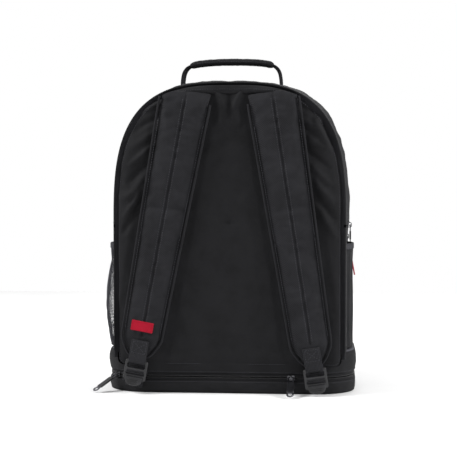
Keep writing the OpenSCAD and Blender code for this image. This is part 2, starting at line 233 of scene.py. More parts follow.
@dataclass(frozen=True)
class ClothFinish:
    """A woven cloth: threads, uneven dye and a soft sheen."""

    name: str
    colour: str
    light: str
    weave: Weave = Weave.PLAIN
    pitch: float = 0.9 * MM
    relief: float = 0.35
    roughness: float = 0.78
    sheen: float = 0.03
    specular: float = 0.12
    slub: float = 7 * MM
    fuzz: float = 900.0
    uneven: float = 0.12

    def threads(self, tree: NodeTree, vector: NodeSocket,
                across: tuple[str, str]) -> NodeSocket:
        """Makes the height of the threads.

        Args:
            tree: the material's tree.
            vector: the coordinates.
            across: the two axes that the threads run along.

        Returns:
            The height's socket.
        """
        scale = 0.314 / self.pitch
        wave = {"wave_type": "BANDS", "Distortion": 0.6, "Detail": 1.0}

        def bands(direction: str, share: float = 1.0) -> NodeSocket:
            """Makes ridges square to a direction, at a share of the cloth's own scale."""
            settings = {**wave, "Scale": scale * share, "bands_direction": direction}
            return add(tree, "ShaderNodeTexWave", settings, {"Vector": vector}).outputs["Fac"]

        if self.weave is Weave.TWILL:
            return bands("DIAGONAL")
        if self.weave is Weave.RIBBED:
            return add(tree, "ShaderNodeMath", {"operation": "MULTIPLY_ADD", 1: 0.45},
                       {0: bands(across[1], 0.7), 2: bands(across[0])}).outputs[0]
        height = add(tree, "ShaderNodeMath", {"operation": "MAXIMUM"},
                     {i: bands(axis) for i, axis in enumerate(across)}).outputs[0]
        if self.weave is Weave.RIPSTOP:
            cord = add(tree, "ShaderNodeMath", {"operation": "MAXIMUM"},
                       {i: bands(axis, 1 / 6) for i, axis in enumerate(across)})
            ridge = add(tree, "ShaderNodeMath", {"operation": "POWER", 1: 14.0}, {0: cord.outputs[0]})
            height = add(tree, "ShaderNodeMath", {"operation": "MULTIPLY_ADD", 1: 2.0},
                         {0: ridge.outputs[0], 2: height}).outputs[0]
        return height

    @lru_cache(maxsize=None)
    def material(self, follow: Follow = Follow.SURFACE) -> Material:
        """Builds the material.

        Args:
            follow: whether the threads follow the surface or lie square to the pack.

        Returns:
            The material.
        """
        material, tree, shader = new_material(f"{self.name}_{follow.name.lower()}")
        place = add(tree, "ShaderNodeTexCoord", {})
        across = ("X", "Y") if follow is Follow.SURFACE else ("X", "Z")
        height = self.threads(tree, place.outputs[follow.value], across)
        solid = place.outputs["Object"]
        dye = add(tree, "ShaderNodeTexNoise", {"Scale": 0.2 / self.slub, "Detail": 6.0, "Roughness": 0.65},
                  {"Vector": solid})
        fuzz = add(tree, "ShaderNodeTexNoise", {"Scale": self.fuzz, "Detail": 3.0}, {"Vector": solid})
        mix = add(tree, "ShaderNodeMath", {"operation": "MULTIPLY_ADD", 1: 0.45},
                  {0: height, 2: dye.outputs["Fac"]})
        grain = add(tree, "ShaderNodeMath", {"operation": "MULTIPLY_ADD", 1: 0.6},
                    {0: fuzz.outputs["Fac"], 2: height})
        paint(tree, shader, (self.colour, self.light), (0.42, 0.95), mix.outputs[0], dye.outputs["Fac"],
              (self.roughness - self.uneven, self.roughness + self.uneven),
              (self.relief, 0.4 * MM, grain.outputs[0]))
        shader.inputs["Specular IOR Level"].default_value = self.specular
        shader.inputs["Sheen Weight"].default_value = self.sheen
        shader.inputs["Sheen Roughness"].default_value = 0.45
        return material


@dataclass(frozen=True)
class HardFinish:
    """Moulded plastic, plated metal or enamel."""

    name: str
    colour: str
    light: str
    roughness: float = 0.4
    metallic: float = 0.0
    grain: float = 0.08
    scale: float = 260.0

    @lru_cache(maxsize=None)
    def material(self) -> Material:
        """Builds the material.

        Returns:
            The material.
        """
        material, tree, shader = new_material(self.name)
        place = add(tree, "ShaderNodeTexCoord", {}).outputs["Object"]
        wear = add(tree, "ShaderNodeTexNoise", {"Scale": self.scale / 3, "Detail": 8.0, "Roughness": 0.7},
                   {"Vector": place})
        fine = add(tree, "ShaderNodeTexNoise", {"Scale": self.scale * 6, "Detail": 2.0}, {"Vector": place})
        paint(tree, shader, (self.colour, self.light), (0.4, 0.75), wear.outputs["Fac"], wear.outputs["Fac"],
              (self.roughness - 0.1, self.roughness + 0.15), (self.grain, 0.2 * MM, fine.outputs["Fac"]))
        shader.inputs["Metallic"].default_value = self.metallic
        return material


PACK_CLOTH = ClothFinish("pack_cloth", "0f0f10", "202022")
PANEL_CLOTH = ClothFinish("panel_cloth", "101011", "1f1f21", pitch=1.1 * MM)
STRAP_CLOTH = ClothFinish("strap_cloth", "151517", "29292c", weave=Weave.TWILL, pitch=1.3 * MM, relief=0.5)
LINING_CLOTH = ClothFinish("lining_cloth", "3a3a3f", "55555b", weave=Weave.RIPSTOP, pitch=0.8 * MM)
BINDING_CLOTH = ClothFinish("binding_cloth", "101012", "242427", weave=Weave.RIBBED, pitch=1.2 * MM)
HEM_CLOTH = ClothFinish("hem_cloth", "242427", "3c3c40", weave=Weave.RIBBED, pitch=1.4 * MM)
WEBBING = ClothFinish("webbing_weave", "121214", "2a2a2d", weave=Weave.RIBBED, pitch=2.0 * MM, relief=0.9)
TAPE_CLOTH = ClothFinish("zip_tape_cloth", "0d0d0f", "1e1e20", weave=Weave.TWILL, pitch=0.8 * MM)
LABEL_CLOTH = ClothFinish("label_weave", "8a0a1e", "aa152e", weave=Weave.RIBBED, pitch=1.1 * MM, relief=0.6)
THREAD = ClothFinish("sewing_thread", "2c2c30", "46464b", weave=Weave.TWILL, pitch=0.5 * MM)
NET_YARN = ClothFinish("net_yarn", "26262a", "47474c", pitch=0.6 * MM)
COIL = HardFinish("coil_nylon", "101012", "242427", roughness=0.38)
PLASTIC = HardFinish("buckle_acetal", "141416", "26262a", roughness=0.36, grain=0.12)
BOARD = HardFinish("board_plastic", "18181a", "2a2a2c", roughness=0.55, grain=0.3)
NICKEL = HardFinish("slider_nickel", "38383b", "78787c", roughness=0.34, metallic=1.0, grain=0.05)
BRIGHT = HardFinish("ring_nickel", "55555a", "929298", roughness=0.28, metallic=1.0, grain=0.04)
ENAMEL = HardFinish("pull_enamel", "121214", "232326", roughness=0.3, grain=0.06)


# ------------------------------------------------------------------ mesh work

def make_piece(name: str, points: Sequence[Vector], faces: Sequence[Sequence[int]], material: Material,
               uvs: Optional[Sequence[Sequence[tuple[float, float]]]] = None) -> Object:
    """Makes an object of a closed mesh, with its faces outwards and smooth.

    Args:
        name: the piece's name.
        points: its points, in the pack's frame.
        faces: its faces.
        material: its finish.
        uvs: for each face, the place of each corner on the cloth.

    Returns:
        The object.
    """
    mesh = bpy.data.meshes.new(name)
    mesh.from_pydata([tuple(p) for p in points], [], [tuple(f) for f in faces])
    if uvs:
        layer = mesh.uv_layers.new(name="cloth")
        layer.data.foreach_set("uv", [c for face in uvs for corner in face for c in corner])
    form = bmesh.new()
    form.from_mesh(mesh)
    bmesh.ops.recalc_face_normals(form, faces=form.faces)
    form.to_mesh(mesh)
    form.free()
    mesh.polygons.foreach_set("use_smooth", [True] * len(mesh.polygons))
    mesh.materials.append(material)
    return link(name, mesh)


def even(points: Sequence[Vector], step: float, closed: bool = False) -> list[Vector]:
    """Spaces points evenly along a line.

    Args:
        points: the line's points.
        step: the wanted distance between points.
        closed: whether the line ends where it starts.

    Returns:
        The new points.
    """
    line = [Vector(p) for p in points] + ([Vector(points[0])] if closed else [])
    ends = [0.0]
    for a, b in zip(line, line[1:]):
        ends.append(ends[-1] + (b - a).length)
    count = max(2, round(ends[-1] / step))
    result, k = [], 0
    for i in range(count + (0 if closed else 1)):
        at = ends[-1] * i / count
        while k < len(line) - 2 and ends[k + 1] < at:
            k += 1
        share = (at - ends[k]) / max(1e-12, ends[k + 1] - ends[k])
        result.append(line[k].lerp(line[k + 1], min(1.0, share)))
    return result


def curve_through(points: Sequence[Vector], step: float, rounds: int = 3) -> list[Vector]:
    """Rounds the corners of a line and spaces its points evenly.

    Args:
        points: the line's corners.
        step: the wanted distance between points.
        rounds: how often each corner is cut.

    Returns:
        The points of the smooth line, with the same two ends.
    """
    line = [Vector(p) for p in points]
    for _ in range(rounds):
        cut = [line[0]]
        for a, b in zip(line, line[1:]):
            cut += [a.lerp(b, 0.25), a.lerp(b, 0.75)]
        line = cut + [line[-1]]
    return even(line, step)


def sweep(name: str, path: Sequence[Vector], across: Vector, section: Section, material: Material,
          closed: bool = False) -> Object:
    """Carries a closed section along a path.

    Args:
        name: the piece's name.
        path: evenly spaced points.
        across: the direction of the section's second axis. Its first is square to it and the path.
        section: gives the section's points at a distance and place on the path.
        material: the finish.
        closed: whether the path is a loop.

    Returns:
        The piece.
    """
    count = len(path)
    rings, distances, run = [], [], 0.0
    for i, p in enumerate(path):
        before = path[i - 1] if closed or i else path[0]
        after = path[(i + 1) % count] if closed or i < count - 1 else path[-1]
        out = (after - before).normalized().cross(across).normalized()
        if i:
            run += (p - path[i - 1]).length
        distances.append(run)
        rings.append([p + out * a + across * b for a, b in section(run, p)])
    size = len(rings[0])
    girth = [0.0]
    for k in range(size):
        girth.append(girth[-1] + (rings[0][(k + 1) % size] - rings[0][k]).length)
    points = [p for ring in rings for p in ring]
    faces, uvs = [], []
    for i in range(count if closed else count - 1):
        j = (i + 1) % count
        v0 = distances[i]
        v1 = distances[j] if j else run + (path[0] - path[-1]).length
        for k in range(size):
            m = (k + 1) % size
            faces.append((i * size + k, i * size + m, j * size + m, j * size + k))
            uvs.append(((girth[k], v0), (girth[k + 1], v0), (girth[k + 1], v1), (girth[k], v1)))
    if not closed:
        for base in (0, (count - 1) * size):
            faces.append(tuple(base + k for k in range(size)))
            uvs.append(tuple((girth[k], distances[base // size]) for k in range(size)))
    return make_piece(name, points, faces, material, uvs)


def tube_faces(count: int, size: int) -> list[tuple[int, ...]]:
    """Gives the faces of a closed tube made of rings of points.

    Args:
        count: how many rings there are.
        size: points in each ring.

    Returns:
        The side faces, ring by ring, then the two ends.
    """
    faces = [(i * size + k, i * size + (k + 1) % size, (i + 1) * size + (k + 1) % size, (i + 1) * size + k)
             for i in range(count - 1) for k in range(size)]
    return faces + [tuple(range(size)), tuple((count - 1) * size + k for k in range(size))]


def dish(name: str, outline: Sequence[Vector], out: Vector, front: Profile, rear: Profile, relief: Relief,
         material: Material) -> Object:
    """Makes a closed panel: a front and a rear skin that meet along one outline.

    Args:
        name: the piece's name.
        outline: the panel's edge, a closed line in a plane.
        out: the direction the front faces.
        front: how far in from the edge, from 0 to 1, and how far out each ring of the front skin lies.
        rear: the same for the rear skin.
        relief: how far out each point of the front skin stands besides.
        material: the finish.

    Returns:
        The piece.
    """
    centre = sum(outline, Vector()) / len(outline)
    size = len(outline)
    points: list[Vector] = []

    def skin(profile: Profile, lift: Relief) -> list[int]:
        """Adds one skin's rings, and returns where each starts."""
        starts = []
        for inset, depth in profile:
            starts.append(len(points))
            for p in outline:
                q = p.lerp(centre, inset)
                points.append(q + out * (depth + lift(q)))
        return starts

    faces = []
    rims = []
    for profile, lift in ((front, relief), (rear, lambda q: 0.0)):
        starts = skin(profile, lift)
        for a, b in zip(starts, starts[1:]):
            faces += [(a + k, a + (k + 1) % size, b + (k + 1) % size, b + k) for k in range(size)]
        middle = len(points)
        points.append(centre + out * (profile[-1][1] + lift(centre)))
        faces += [(starts[-1] + k, starts[-1] + (k + 1) % size, middle) for k in range(size)]
        rims.append(starts[0])
    faces += [(rims[0] + k, rims[1] + k, rims[1] + (k + 1) % size, rims[0] + (k + 1) % size) for k in range(size)]
    u_axis = RIGHT
    v_axis = out.cross(u_axis)
    uvs = [[(points[i].dot(u_axis), points[i].dot(v_axis)) for i in face] for face in faces]
    return make_piece(name, points, faces, material, uvs)


def flat_part(name: str, loops: Sequence[Sequence[tuple[float, float]]], thickness: float, edge: float,
              place: Matrix, material: Material) -> Object:
    """Cuts a plate with rounded edges, such as a stamped or moulded part.

    Args:
        name: the piece's name.
        loops: its outline, then its holes, in the plate's own plane.
        thickness: its thickness.
        edge: radius of its edges.
        place: puts the plate's plane in the pack's frame.
        material: the finish.

    Returns:
        The piece.
    """
    shape = bpy.data.curves.new(name, "CURVE")
    shape.dimensions, shape.fill_mode = "2D", "BOTH"
    shape.extrude, shape.bevel_depth, shape.bevel_resolution = thickness / 2 - edge, edge, 2
    for loop in loops:
        spline = shape.splines.new("POLY")
        spline.points.add(len(loop) - 1)
        for point, (x, y) in zip(spline.points, loop):
            point.co = (x, y, 0, 1)
        spline.use_cyclic_u = True
    shape.offset = -edge
    drawn = link(name, shape)
    mesh = applied(drawn)
    bpy.data.objects.remove(drawn)
    form = bmesh.new()
    form.from_mesh(mesh)
    bmesh.ops.remove_doubles(form, verts=form.verts, dist=1e-6)
    bmesh.ops.transform(form, matrix=place, verts=form.verts)
    bmesh.ops.recalc_face_normals(form, faces=form.faces)
    form.to_mesh(mesh)
    form.free()
    mesh.materials.clear()
    mesh.materials.append(material)
    mesh.polygons.foreach_set("use_smooth", [False] * len(mesh.polygons))
    return link(name, mesh)


def joined(name: str, pieces: Sequence[Object]) -> Object:
    """Joins pieces into one.

    Args:
        name: the whole piece's name.
        pieces: its parts.

    Returns:
        The whole piece.
    """
    with bpy.context.temp_override(active_object=pieces[0], object=pieces[0], selected_objects=list(pieces),
                                   selected_editable_objects=list(pieces)):
        bpy.ops.object.join()
    pieces[0].name = name
    return pieces[0]


def rod(radius: float, count: int) -> list[tuple[float, float]]:
    """Gives a rod's round section, with one flat facet.

    Args:
        radius: the rod's radius.
        count: points in the whole circle. The flat leaves the last one out.

    Returns:
        The section's points.
    """
    return [(radius * math.cos(math.tau * i / count), radius * math.sin(math.tau * i / count))
            for i in range(count - 1)]


def rounded_box(width: float, height: float, radius: float, centre: tuple[float, float] = (0.0, 0.0),
                count: int = 5) -> list[tuple[float, float]]:
    """Gives the outline of a box with rounded corners, anticlockwise.

    Args:
        width: its size along the first axis.
        height: its size along the second.
        radius: its corners' radius.
        centre: its middle.
        count: points in each corner.

    Returns:
        The outline's points.
    """
    result = []
    for k, (sx, sy) in enumerate(((1, 1), (-1, 1), (-1, -1), (1, -1))):
        cx = centre[0] + sx * (width / 2 - radius)
        cy = centre[1] + sy * (height / 2 - radius)
        for i in range(count + 1):
            angle = math.pi / 2 * (k + i / count)
            result.append((cx + radius * math.cos(angle), cy + radius * math.sin(angle)))
    return result


def stitch_box(place: Matrix, box: Sequence[tuple[float, float]], lift: float) -> list[Vector]:
    """Gives a closed row round a box that lies in a place's plane, lifted off it."""
    return [place @ Vector((x, y, lift)) for x, y in [*box, box[0]]]


def crease(p: Vector, size: float, depth: float, seed: float,
           stretch: tuple[float, float, float] = (1, 1, 1)) -> float:
    """Gives the height of slack cloth: soft ridges with smooth hollows between them.

    Args:
        p: the place.
        size: distance between ridges.
        depth: their height.
        seed: picks the pattern.
        stretch: how much longer the ridges run along each axis.

    Returns:
        The height, from about minus half to half the depth.
    """
    q = Vector((p.x / stretch[0], p.y / stretch[1], p.z / stretch[2])) / size + Vector((seed, seed * 1.7, -seed))
    broad = noise.noise(q)
    ridge = 1 - 2 * math.sqrt(noise.noise(q * 1.9 + Vector((5, 1, 3))) ** 2 + 0.01)
    return depth * (0.55 * broad + 0.35 * (ridge - 0.4))


@dataclass(frozen=True)
class Fold:
    """One fold in cloth: a soft ridge or, with a negative height, a hollow, from one place to another."""

    start: tuple[float, float]
    end: tuple[float, float]
    width: float
    height: float

    def nearest(self, x: float, z: float) -> tuple[float, float]:
        """Gives how far along the fold, and how far from it, a place lies."""
        a, b, p = Vector(self.start), Vector(self.end), Vector((x, z))
        run = b - a
        share = clamp((p - a).dot(run) / run.length_squared)
        return share, (p - a - run * share).length

    def gap(self, x: float, z: float) -> float:
        """Gives how far a place lies from the fold."""
        return self.nearest(x, z)[1]

    def at(self, x: float, z: float) -> float:
        """Gives the fold's height at a place on the panel."""
        share, gap = self.nearest(x, z)
        fade = math.sin(math.pi * min(1.0, 0.12 + 0.88 * share)) ** 0.5
        return self.height * fade * bell(gap, self.width)


def node_inputs(tree: NodeTree, sizes: dict[str, float]) -> None:
    """Gives a geometry tree its geometry, its material and its named sizes."""
    tree.interface.new_socket("Geometry", in_out="INPUT", socket_type="NodeSocketGeometry")
    tree.interface.new_socket("Geometry", in_out="OUTPUT", socket_type="NodeSocketGeometry")
    tree.interface.new_socket("Finish", in_out="INPUT", socket_type="NodeSocketMaterial")
    for name, value in sizes.items():
        tree.interface.new_socket(name, in_out="INPUT", socket_type="NodeSocketFloat").default_value = value


def close_tree(tree: NodeTree, given: Node, shape: NodeSocket) -> NodeTree:
    """Ends a geometry tree: its shape becomes a plain mesh with the tree's finish.

    Args:
        tree: the tree.
        given: its input node.
        shape: the shape to keep.

    Returns:
        The tree.
    """
    real = add(tree, "GeometryNodeRealizeInstances", {}, {"Geometry": shape})
    dressed = add(tree, "GeometryNodeSetMaterial", {},
                  {"Geometry": real.outputs[0], "Material": given.outputs["Finish"]})
    add(tree, "NodeGroupOutput", {}, {"Geometry": dressed.outputs[0]})
    return tree


def bead_tree() -> NodeTree:
    """Builds the tree that sets small rounded beads along lines: stitches, or the turns of a zip's coil.

    Returns:
        The tree.
    """
    tree = bpy.data.node_groups.new("beads_along_lines", "GeometryNodeTree")
    node_inputs(tree, {"Pitch": 3 * MM, "Radius": 0.4 * MM, "Half length": 1 * MM})
    given = add(tree, "NodeGroupInput", {})
    spots = add(tree, "GeometryNodeCurveToPoints", {"mode": "LENGTH"},
                {"Curve": given.outputs["Geometry"], "Length": given.outputs["Pitch"]})
    bead = add(tree, "GeometryNodeMeshUVSphere", {"Segments": 6, "Rings": 4, "Radius": 1.0})
    size = add(tree, "ShaderNodeCombineXYZ", {}, {"X": given.outputs["Radius"], "Y": given.outputs["Radius"],
                                                 "Z": given.outputs["Half length"]})
    shaped = add(tree, "GeometryNodeTransform", {}, {"Geometry": bead.outputs["Mesh"], "Scale": size.outputs[0]})
    placed = add(tree, "GeometryNodeInstanceOnPoints", {},
                 {"Points": spots.outputs["Points"], "Instance": shaped.outputs[0],
                  "Rotation": spots.outputs["Rotation"]})
    return close_tree(tree, given, placed.outputs[0])


def net_tree() -> NodeTree:
    """Builds the tree that turns the edges of a mesh into round yarns.

    Returns:
        The tree.
    """
    tree = bpy.data.node_groups.new("yarn_net", "GeometryNodeTree")
    node_inputs(tree, {"Yarn radius": 0.4 * MM})
    given = add(tree, "NodeGroupInput", {})
    lines = add(tree, "GeometryNodeMeshToCurve", {}, {"Mesh": given.outputs["Geometry"]})
    ring = add(tree, "GeometryNodeCurvePrimitiveCircle", {"Resolution": 4}, {"Radius": given.outputs["Yarn radius"]})
    tubes = add(tree, "GeometryNodeCurveToMesh", {"Fill Caps": True},
                {"Curve": lines.outputs[0], "Profile Curve": ring.outputs[0]})
    return close_tree(tree, given, tubes.outputs[0])


def grown(name: str, source: Object, tree: NodeTree, material: Material, sizes: dict[str, float]) -> Object:
    """Runs a geometry tree on an object and keeps the plain mesh.

    Args:
        name: the new piece's name.
        source: the lines or mesh it grows on, which is removed.
        tree: the geometry tree.
        material: the finish.
        sizes: the tree's named sizes.

    Returns:
        The piece.
    """
    grower = source.modifiers.new("grow", "NODES")
    grower.node_group = tree
    for item in tree.interface.items_tree:
        if item.in_out == "INPUT" and item.name in sizes:
            grower[item.identifier] = sizes[item.name]
        elif item.in_out == "INPUT" and item.name == "Finish":
            grower[item.identifier] = material
    mesh = applied(source)
    bpy.data.objects.remove(source)
    mesh.name = name
    if not mesh.materials:
        mesh.materials.append(material)
    mesh.polygons.foreach_set("use_smooth", [True] * len(mesh.polygons))
    return link(name, mesh)


def lines_object(name: str, lines: Sequence[Sequence[Vector]]) -> Object:
    """Makes a curve object of straight-edged lines."""
    drawn = bpy.data.curves.new(name, "CURVE")
    drawn.dimensions = "3D"
    for line in lines:
        spline = drawn.splines.new("POLY")
        spline.points.add(len(line) - 1)
        for point, p in zip(spline.points, line):
            point.co = (*p, 1)
    return link(name, drawn)


@dataclass
class Sewing:
    """The sewing room: stitches, coils and nets, each grown by its geometry tree."""

    stitch_pitch: float = 3.6 * MM
    thread: float = 0.42 * MM

    def __post_init__(self) -> None:
        """Builds the two trees."""
        self.beads = bead_tree()
        self.net = net_tree()

    def stitches(self, name: str, lines: Sequence[Sequence[Vector]],
                 material: Optional[Material] = None) -> Object:
        """Sews rows of stitches along lines."""
        return grown(name, lines_object(name, lines), self.beads, material or THREAD.material(Follow.SPACE),
                     {"Pitch": self.stitch_pitch, "Radius": self.thread, "Half length": self.stitch_pitch * 0.36})

    def sew(self, name: str, lines: Sequence[Sequence[Vector]], body: str, slot: str = "pack_fabric") -> None:
        """Sews rows of stitches that ride on a body."""
        dress(self.stitches(name, lines), body, slot)

    def coil(self, name: str, line: Sequence[Vector], radius: float) -> Object:
        """Lays a zip's coil along a line."""
        return grown(name, lines_object(name, [line]), self.beads, COIL.material(),
                     {"Pitch": 1.7 * MM, "Radius": radius, "Half length": 0.8 * MM})

    def net_of(self, name: str, sheet: Object, yarn: float) -> Object:
        """Knots a net along the edges of a sheet."""
        return grown(name, sheet, self.net, NET_YARN.material(Follow.SPACE), {"Yarn radius": yarn})


def dress(piece: Object, body: str, slot: str, *nodes: str) -> Object:
    """Puts a finished piece on its body and hides the frame's nodes that it stands for.

    Args:
        piece: the piece.
        body: the body that it moves with.
        slot: its material slot in the record; not used.
        nodes: the frame's nodes that it stands for.

    Returns:
        The piece.
    """
    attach(piece, body)
    if nodes:
        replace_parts(piece, *nodes)
    LOG.info("%s rides on %s: %d faces", piece.name, body, len(piece.data.polygons))
    return piece


# ------------------------------------------------------------------ shared shapes

@dataclass(frozen=True)
class Arch:
    """The arched outline that the pack's panels, zips and pockets share."""

    half: float
    top: float
    bottom: float
    bend: float = 250 * MM

    @classmethod
    def around(cls, node: str, bottom: Optional[float] = None) -> "Arch":
        """Reads an arch off one of the frame's nodes."""
        low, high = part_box(node)
        return cls(high.x, high.z, low.z if bottom is None else bottom)

    def inset(self, gap: float) -> "Arch":
        """Gives the same arch, further in."""
        return Arch(self.half - gap, self.top - gap, self.bottom, self.bend)

    def line(self, y: float, step: float = 4 * MM, start: Optional[float] = None) -> list[Vector]:
        """Follows the arch from its left foot over the crown to its right foot.

        Args:
            y: the depth that the line lies at.
            step: distance between points.
            start: the height of its feet, if not the arch's own.

        Returns:
            The line's points.
        """
        foot = self.bottom if start is None else start
        points = [Vector((-self.half, y, foot))]
        for i in range(161):
            a = math.pi * (1 - i / 160)
            c, s = math.cos(a), math.sin(a)
            points.append(Vector((self.half * math.copysign(abs(c) ** (2 / 3), c), y,
                                  self.bend + (self.top - self.bend) * abs(s) ** (2 / 3))))
        points.append(Vector((self.half, y, foot)))
        return even(points, step)

    def outline(self, y: float, corner: float = 12 * MM, step: float = 4 * MM) -> list[Vector]:
        """Gives the whole closed outline, with rounded lower corners."""
        arch = [p for p in self.line(y, step) if p.z >= self.bottom + corner]
        low = []
        for sx in (1, -1):
            for i in range(5):
                a = math.pi / 2 * i / 4
                a = a if sx > 0 else math.pi / 2 - a
                low.append(Vector((sx * (self.half - corner + corner * math.cos(a)), y,
                                   self.bottom + corner - corner * math.sin(a))))
        return even(arch + low, step, closed=True)


@dataclass(frozen=True)
class BaseForm:
    """The rounded box outline of the base."""

    half: float
    back: float
    front: float
    radius: float = 60 * MM

    @classmethod
    def around(cls, node: str) -> "BaseForm":
        """Reads the outline off one of the frame's nodes."""
        low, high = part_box(node)
        return cls(high.x, low.y, high.y)

    def loop(self, inset: float, z: float, step: float = 4 * MM) -> list[Vector]:
        """Follows the outline, anticlockwise seen from above."""
        flat = rounded_box(2 * (self.half - inset), self.front - self.back - 2 * inset, self.radius - inset,
                           (0.0, (self.front + self.back) / 2), count=12)
        return even([Vector((x, y, z)) for x, y in flat], step, closed=True)


def wall_section(low: float, high: float, thickness: float, bulge: float,
                 wrinkle: Callable[[float, Vector, float], float], across: int, steps: int = 24) -> Section:
    """Makes the section of a slack fabric wall: a crowned outside and a plain inside.

    Args:
        low: where it starts on the section's second axis.
        high: where it ends.
        thickness: the wall's thickness.
        bulge: how far the middle of the outside stands out.
        wrinkle: the height of its wrinkles at a distance, a place and a depth.
        across: index of the pack's axis that the second axis follows.
        steps: points across the wall.

    Returns:
        The section.
    """
    def section(run: float, p: Vector) -> list[tuple[float, float]]:
        """Gives the wall's points at one place on the path."""
        outside = []
        for k in range(steps + 1):
            share = k / steps
            at = low + (high - low) * share
            q = p.copy()
            q[across] = at
            hold = min(1.0, 5 * share, 5 * (1 - share))
            lift = bulge * math.sin(math.pi * share) ** 0.7 + hold * wrinkle(run, q, share)
            outside.append((lift, at))
        inside = [(-thickness, high + (low - high) * k / 6) for k in range(7)]
        return outside + inside

    return section


def ribbon_section(width: float, thickness: float) -> Section:
    """Makes the section of a flat webbing or tape with rounded edges."""
    points = rounded_box(thickness, width, thickness * 0.45, count=2)
    return lambda run, p: points


@dataclass
class Pad:
    """A stuffed piece, blown up as cloth and then sewn down along its seams."""

    voxel: float = 4.5 * MM
    cap: float = 5 * MM
    pressure: float = 4.0
    quality: int = 4
    stretch: float = 12.0
    shear: float = 6.0
    frames: int = 20

    def blown(self, body: Object) -> Object:
        """Remeshes the piece and lets cloth swell under pressure.

        Args:
            body: a closed mesh, a little smaller than the pad.

        Returns:
            The same object, swollen.
        """
        remesh = body.modifiers.new("voxels", "REMESH")
        remesh.mode, remesh.voxel_size, remesh.use_smooth_shade = "VOXEL", self.voxel, True
        self.bake(body, remesh)
        rest = [v.co.copy() for v in body.data.vertices]
        cloth = body.modifiers.new("cloth", "CLOTH")
        cloth.settings.quality = self.quality
        cloth.settings.use_pressure = True
        cloth.settings.uniform_pressure_force = self.pressure
        cloth.settings.effector_weights.gravity = 0.0
        cloth.settings.tension_stiffness = cloth.settings.compression_stiffness = self.stretch
        cloth.settings.shear_stiffness = self.shear
        cloth.point_cache.frame_start, cloth.point_cache.frame_end = 1, self.frames
        for frame in range(1, self.frames + 1):
            bpy.context.scene.frame_set(frame)
        self.bake(body, cloth)
        bpy.context.scene.frame_set(1)
        for v, at in zip(body.data.vertices, rest):
            swell = v.co - at
            if swell.length > self.cap:
                v.co = at + swell.normalized() * self.cap
        smooth = body.modifiers.new("finer", "SUBSURF")
        smooth.levels = smooth.render_levels = 1
        self.bake(body, smooth)
        body.data.polygons.foreach_set("use_smooth", [True] * len(body.data.polygons))
        return body

    @staticmethod
    def bake(body: Object, modifier: Modifier) -> None:
        """Keeps a modifier's result as the plain mesh and removes the modifier."""
        materials = list(body.data.materials)
        mesh = applied(body)
        body.modifiers.remove(modifier)
        body.data = mesh
        mesh.materials.clear()
        for material in materials:
            mesh.materials.append(material)


# ------------------------------------------------------------------ the pack's shell

